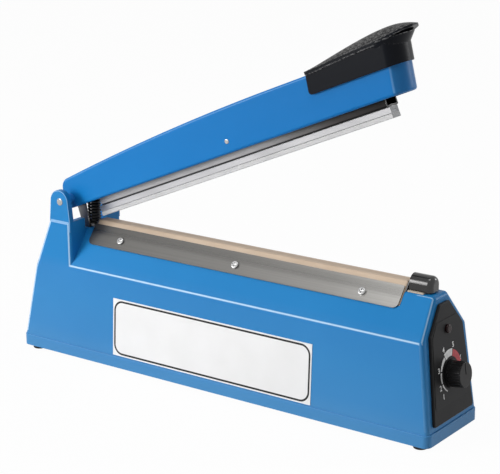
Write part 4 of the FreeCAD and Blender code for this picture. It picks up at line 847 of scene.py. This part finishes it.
def ring_part(first, last, start, end):
    """A flat piece of a ring between two angles in degrees; start and end are inner and outer radius."""
    steps = max(4, round(abs(last - first) / 4))
    work = bmesh.new()
    low = []
    high = []
    for i in range(steps + 1):
        share = i / steps
        angle = first + (last - first) * share
        radii = [a + (b - a) * share for a, b in zip(start, end)]
        low.append([work.verts.new(ring_centre + spoke(angle, radius * MM)) for radius in radii])
        high.append([work.verts.new(ring_centre + spoke(angle, radius * MM, print_height)) for radius in radii])
    for i in range(steps):
        work.faces.new((high[i][0], high[i][1], high[i + 1][1], high[i + 1][0]))
        work.faces.new((low[i][0], low[i + 1][0], low[i + 1][1], low[i][1]))
        for side in (0, 1):
            work.faces.new((low[i][side], low[i + 1][side], high[i + 1][side], high[i][side]))
    for i in (0, steps):
        work.faces.new((low[i][0], low[i][1], high[i][1], high[i][0]))
    bmesh.ops.recalc_face_normals(work, faces=work.faces)
    mesh = bpy.data.meshes.new("ring_part")
    work.to_mesh(mesh)
    work.free()
    return mesh


def numeral(text, across, up, height):
    """A numeral standing upright beside the scale."""
    data = bpy.data.curves.new("numeral", "FONT")
    data.body = text
    data.size = height
    data.align_x = "CENTER"
    data.align_y = "CENTER"
    data.extrude = print_height / 2
    data.offset = 0.18 * MM
    source = bpy.data.objects.new("numeral", data)
    bpy.context.scene.collection.objects.link(source)
    mesh = plain_mesh(source)
    mesh.transform(Matrix.Translation((across * MM, up * MM, print_height / 2)))
    return mesh


def add_dial_print():
    white = printed_ink("white_ink", (0.94, 0.94, 0.93))
    red = printed_ink("red_ink", (0.60, 0.045, 0.060))
    numbers = {
        "1": (-15.0, -16.1), "2": (-18.7, -7.9), "3": (-19.4, 7.5), "4": (-9.4, 22.6),
        "5": (6.8, 23.1), "6": (17.3, 8.6),
    }
    marks = [numeral(text, *place, numeral_height) for text, place in numbers.items()]
    marks.append(ring_part(240, 205, (16.2, 17.2), (15.8, 17.4)))
    marks.append(ring_part(201, 168, (15.8, 17.4), (15.2, 17.4)))
    marks.append(ring_part(164, 121, (15.2, 17.4), (14.4, 17.8)))
    marks.append(ring_part(118, 75, (13.4, 19.6), (13.4, 19.6)))
    scale = merged("white_scale", marks)
    scale.transform(to_dial)
    new_piece("white_scale", scale, white, "base")
    band = ring_part(72, 15, (13.0, 19.0), (13.0, 18.2))
    band.transform(to_dial)
    new_piece("red_scale", band, red, "base")


looked_at = hinge_axis + Vector((0.1948, 0, -0.01115))
photo_camera(looked_at, azimuth=36.03, elevation=16.11, roll=-0.42, distance=1.4577, lens=117.44)
white_room(fill=0.21)
pale_floor(size=6.0, paleness=0.97)
softbox("key_left_front", (-1.25, -1.70, 0.75), (0, 0, 0.12), width=1.1, height=1.3, watts=33,
        colour=(1.0, 0.99, 0.98))
softbox("edge_strip", (-1.2, -1.62, 0.80), (0.19, 0, 0.14), width=0.9, height=0.30, watts=7, colour=(1, 1, 1))
softbox("high_fill", (0.0, -0.5, 2.1), (0, 0, 0.1), width=1.2, height=0.7, watts=10, colour=(1, 1, 1))
softbox("far_rim", (1.30, 1.66, 0.64), (0.2, 0, 0.25), width=0.32, height=0.9, watts=9, colour=(0.97, 0.99, 1.0))
add_return_spring()
add_carrier_springs()
add_cloth()
add_dial_print()

bpy.context.scene.view_settings.view_transform = "Standard"
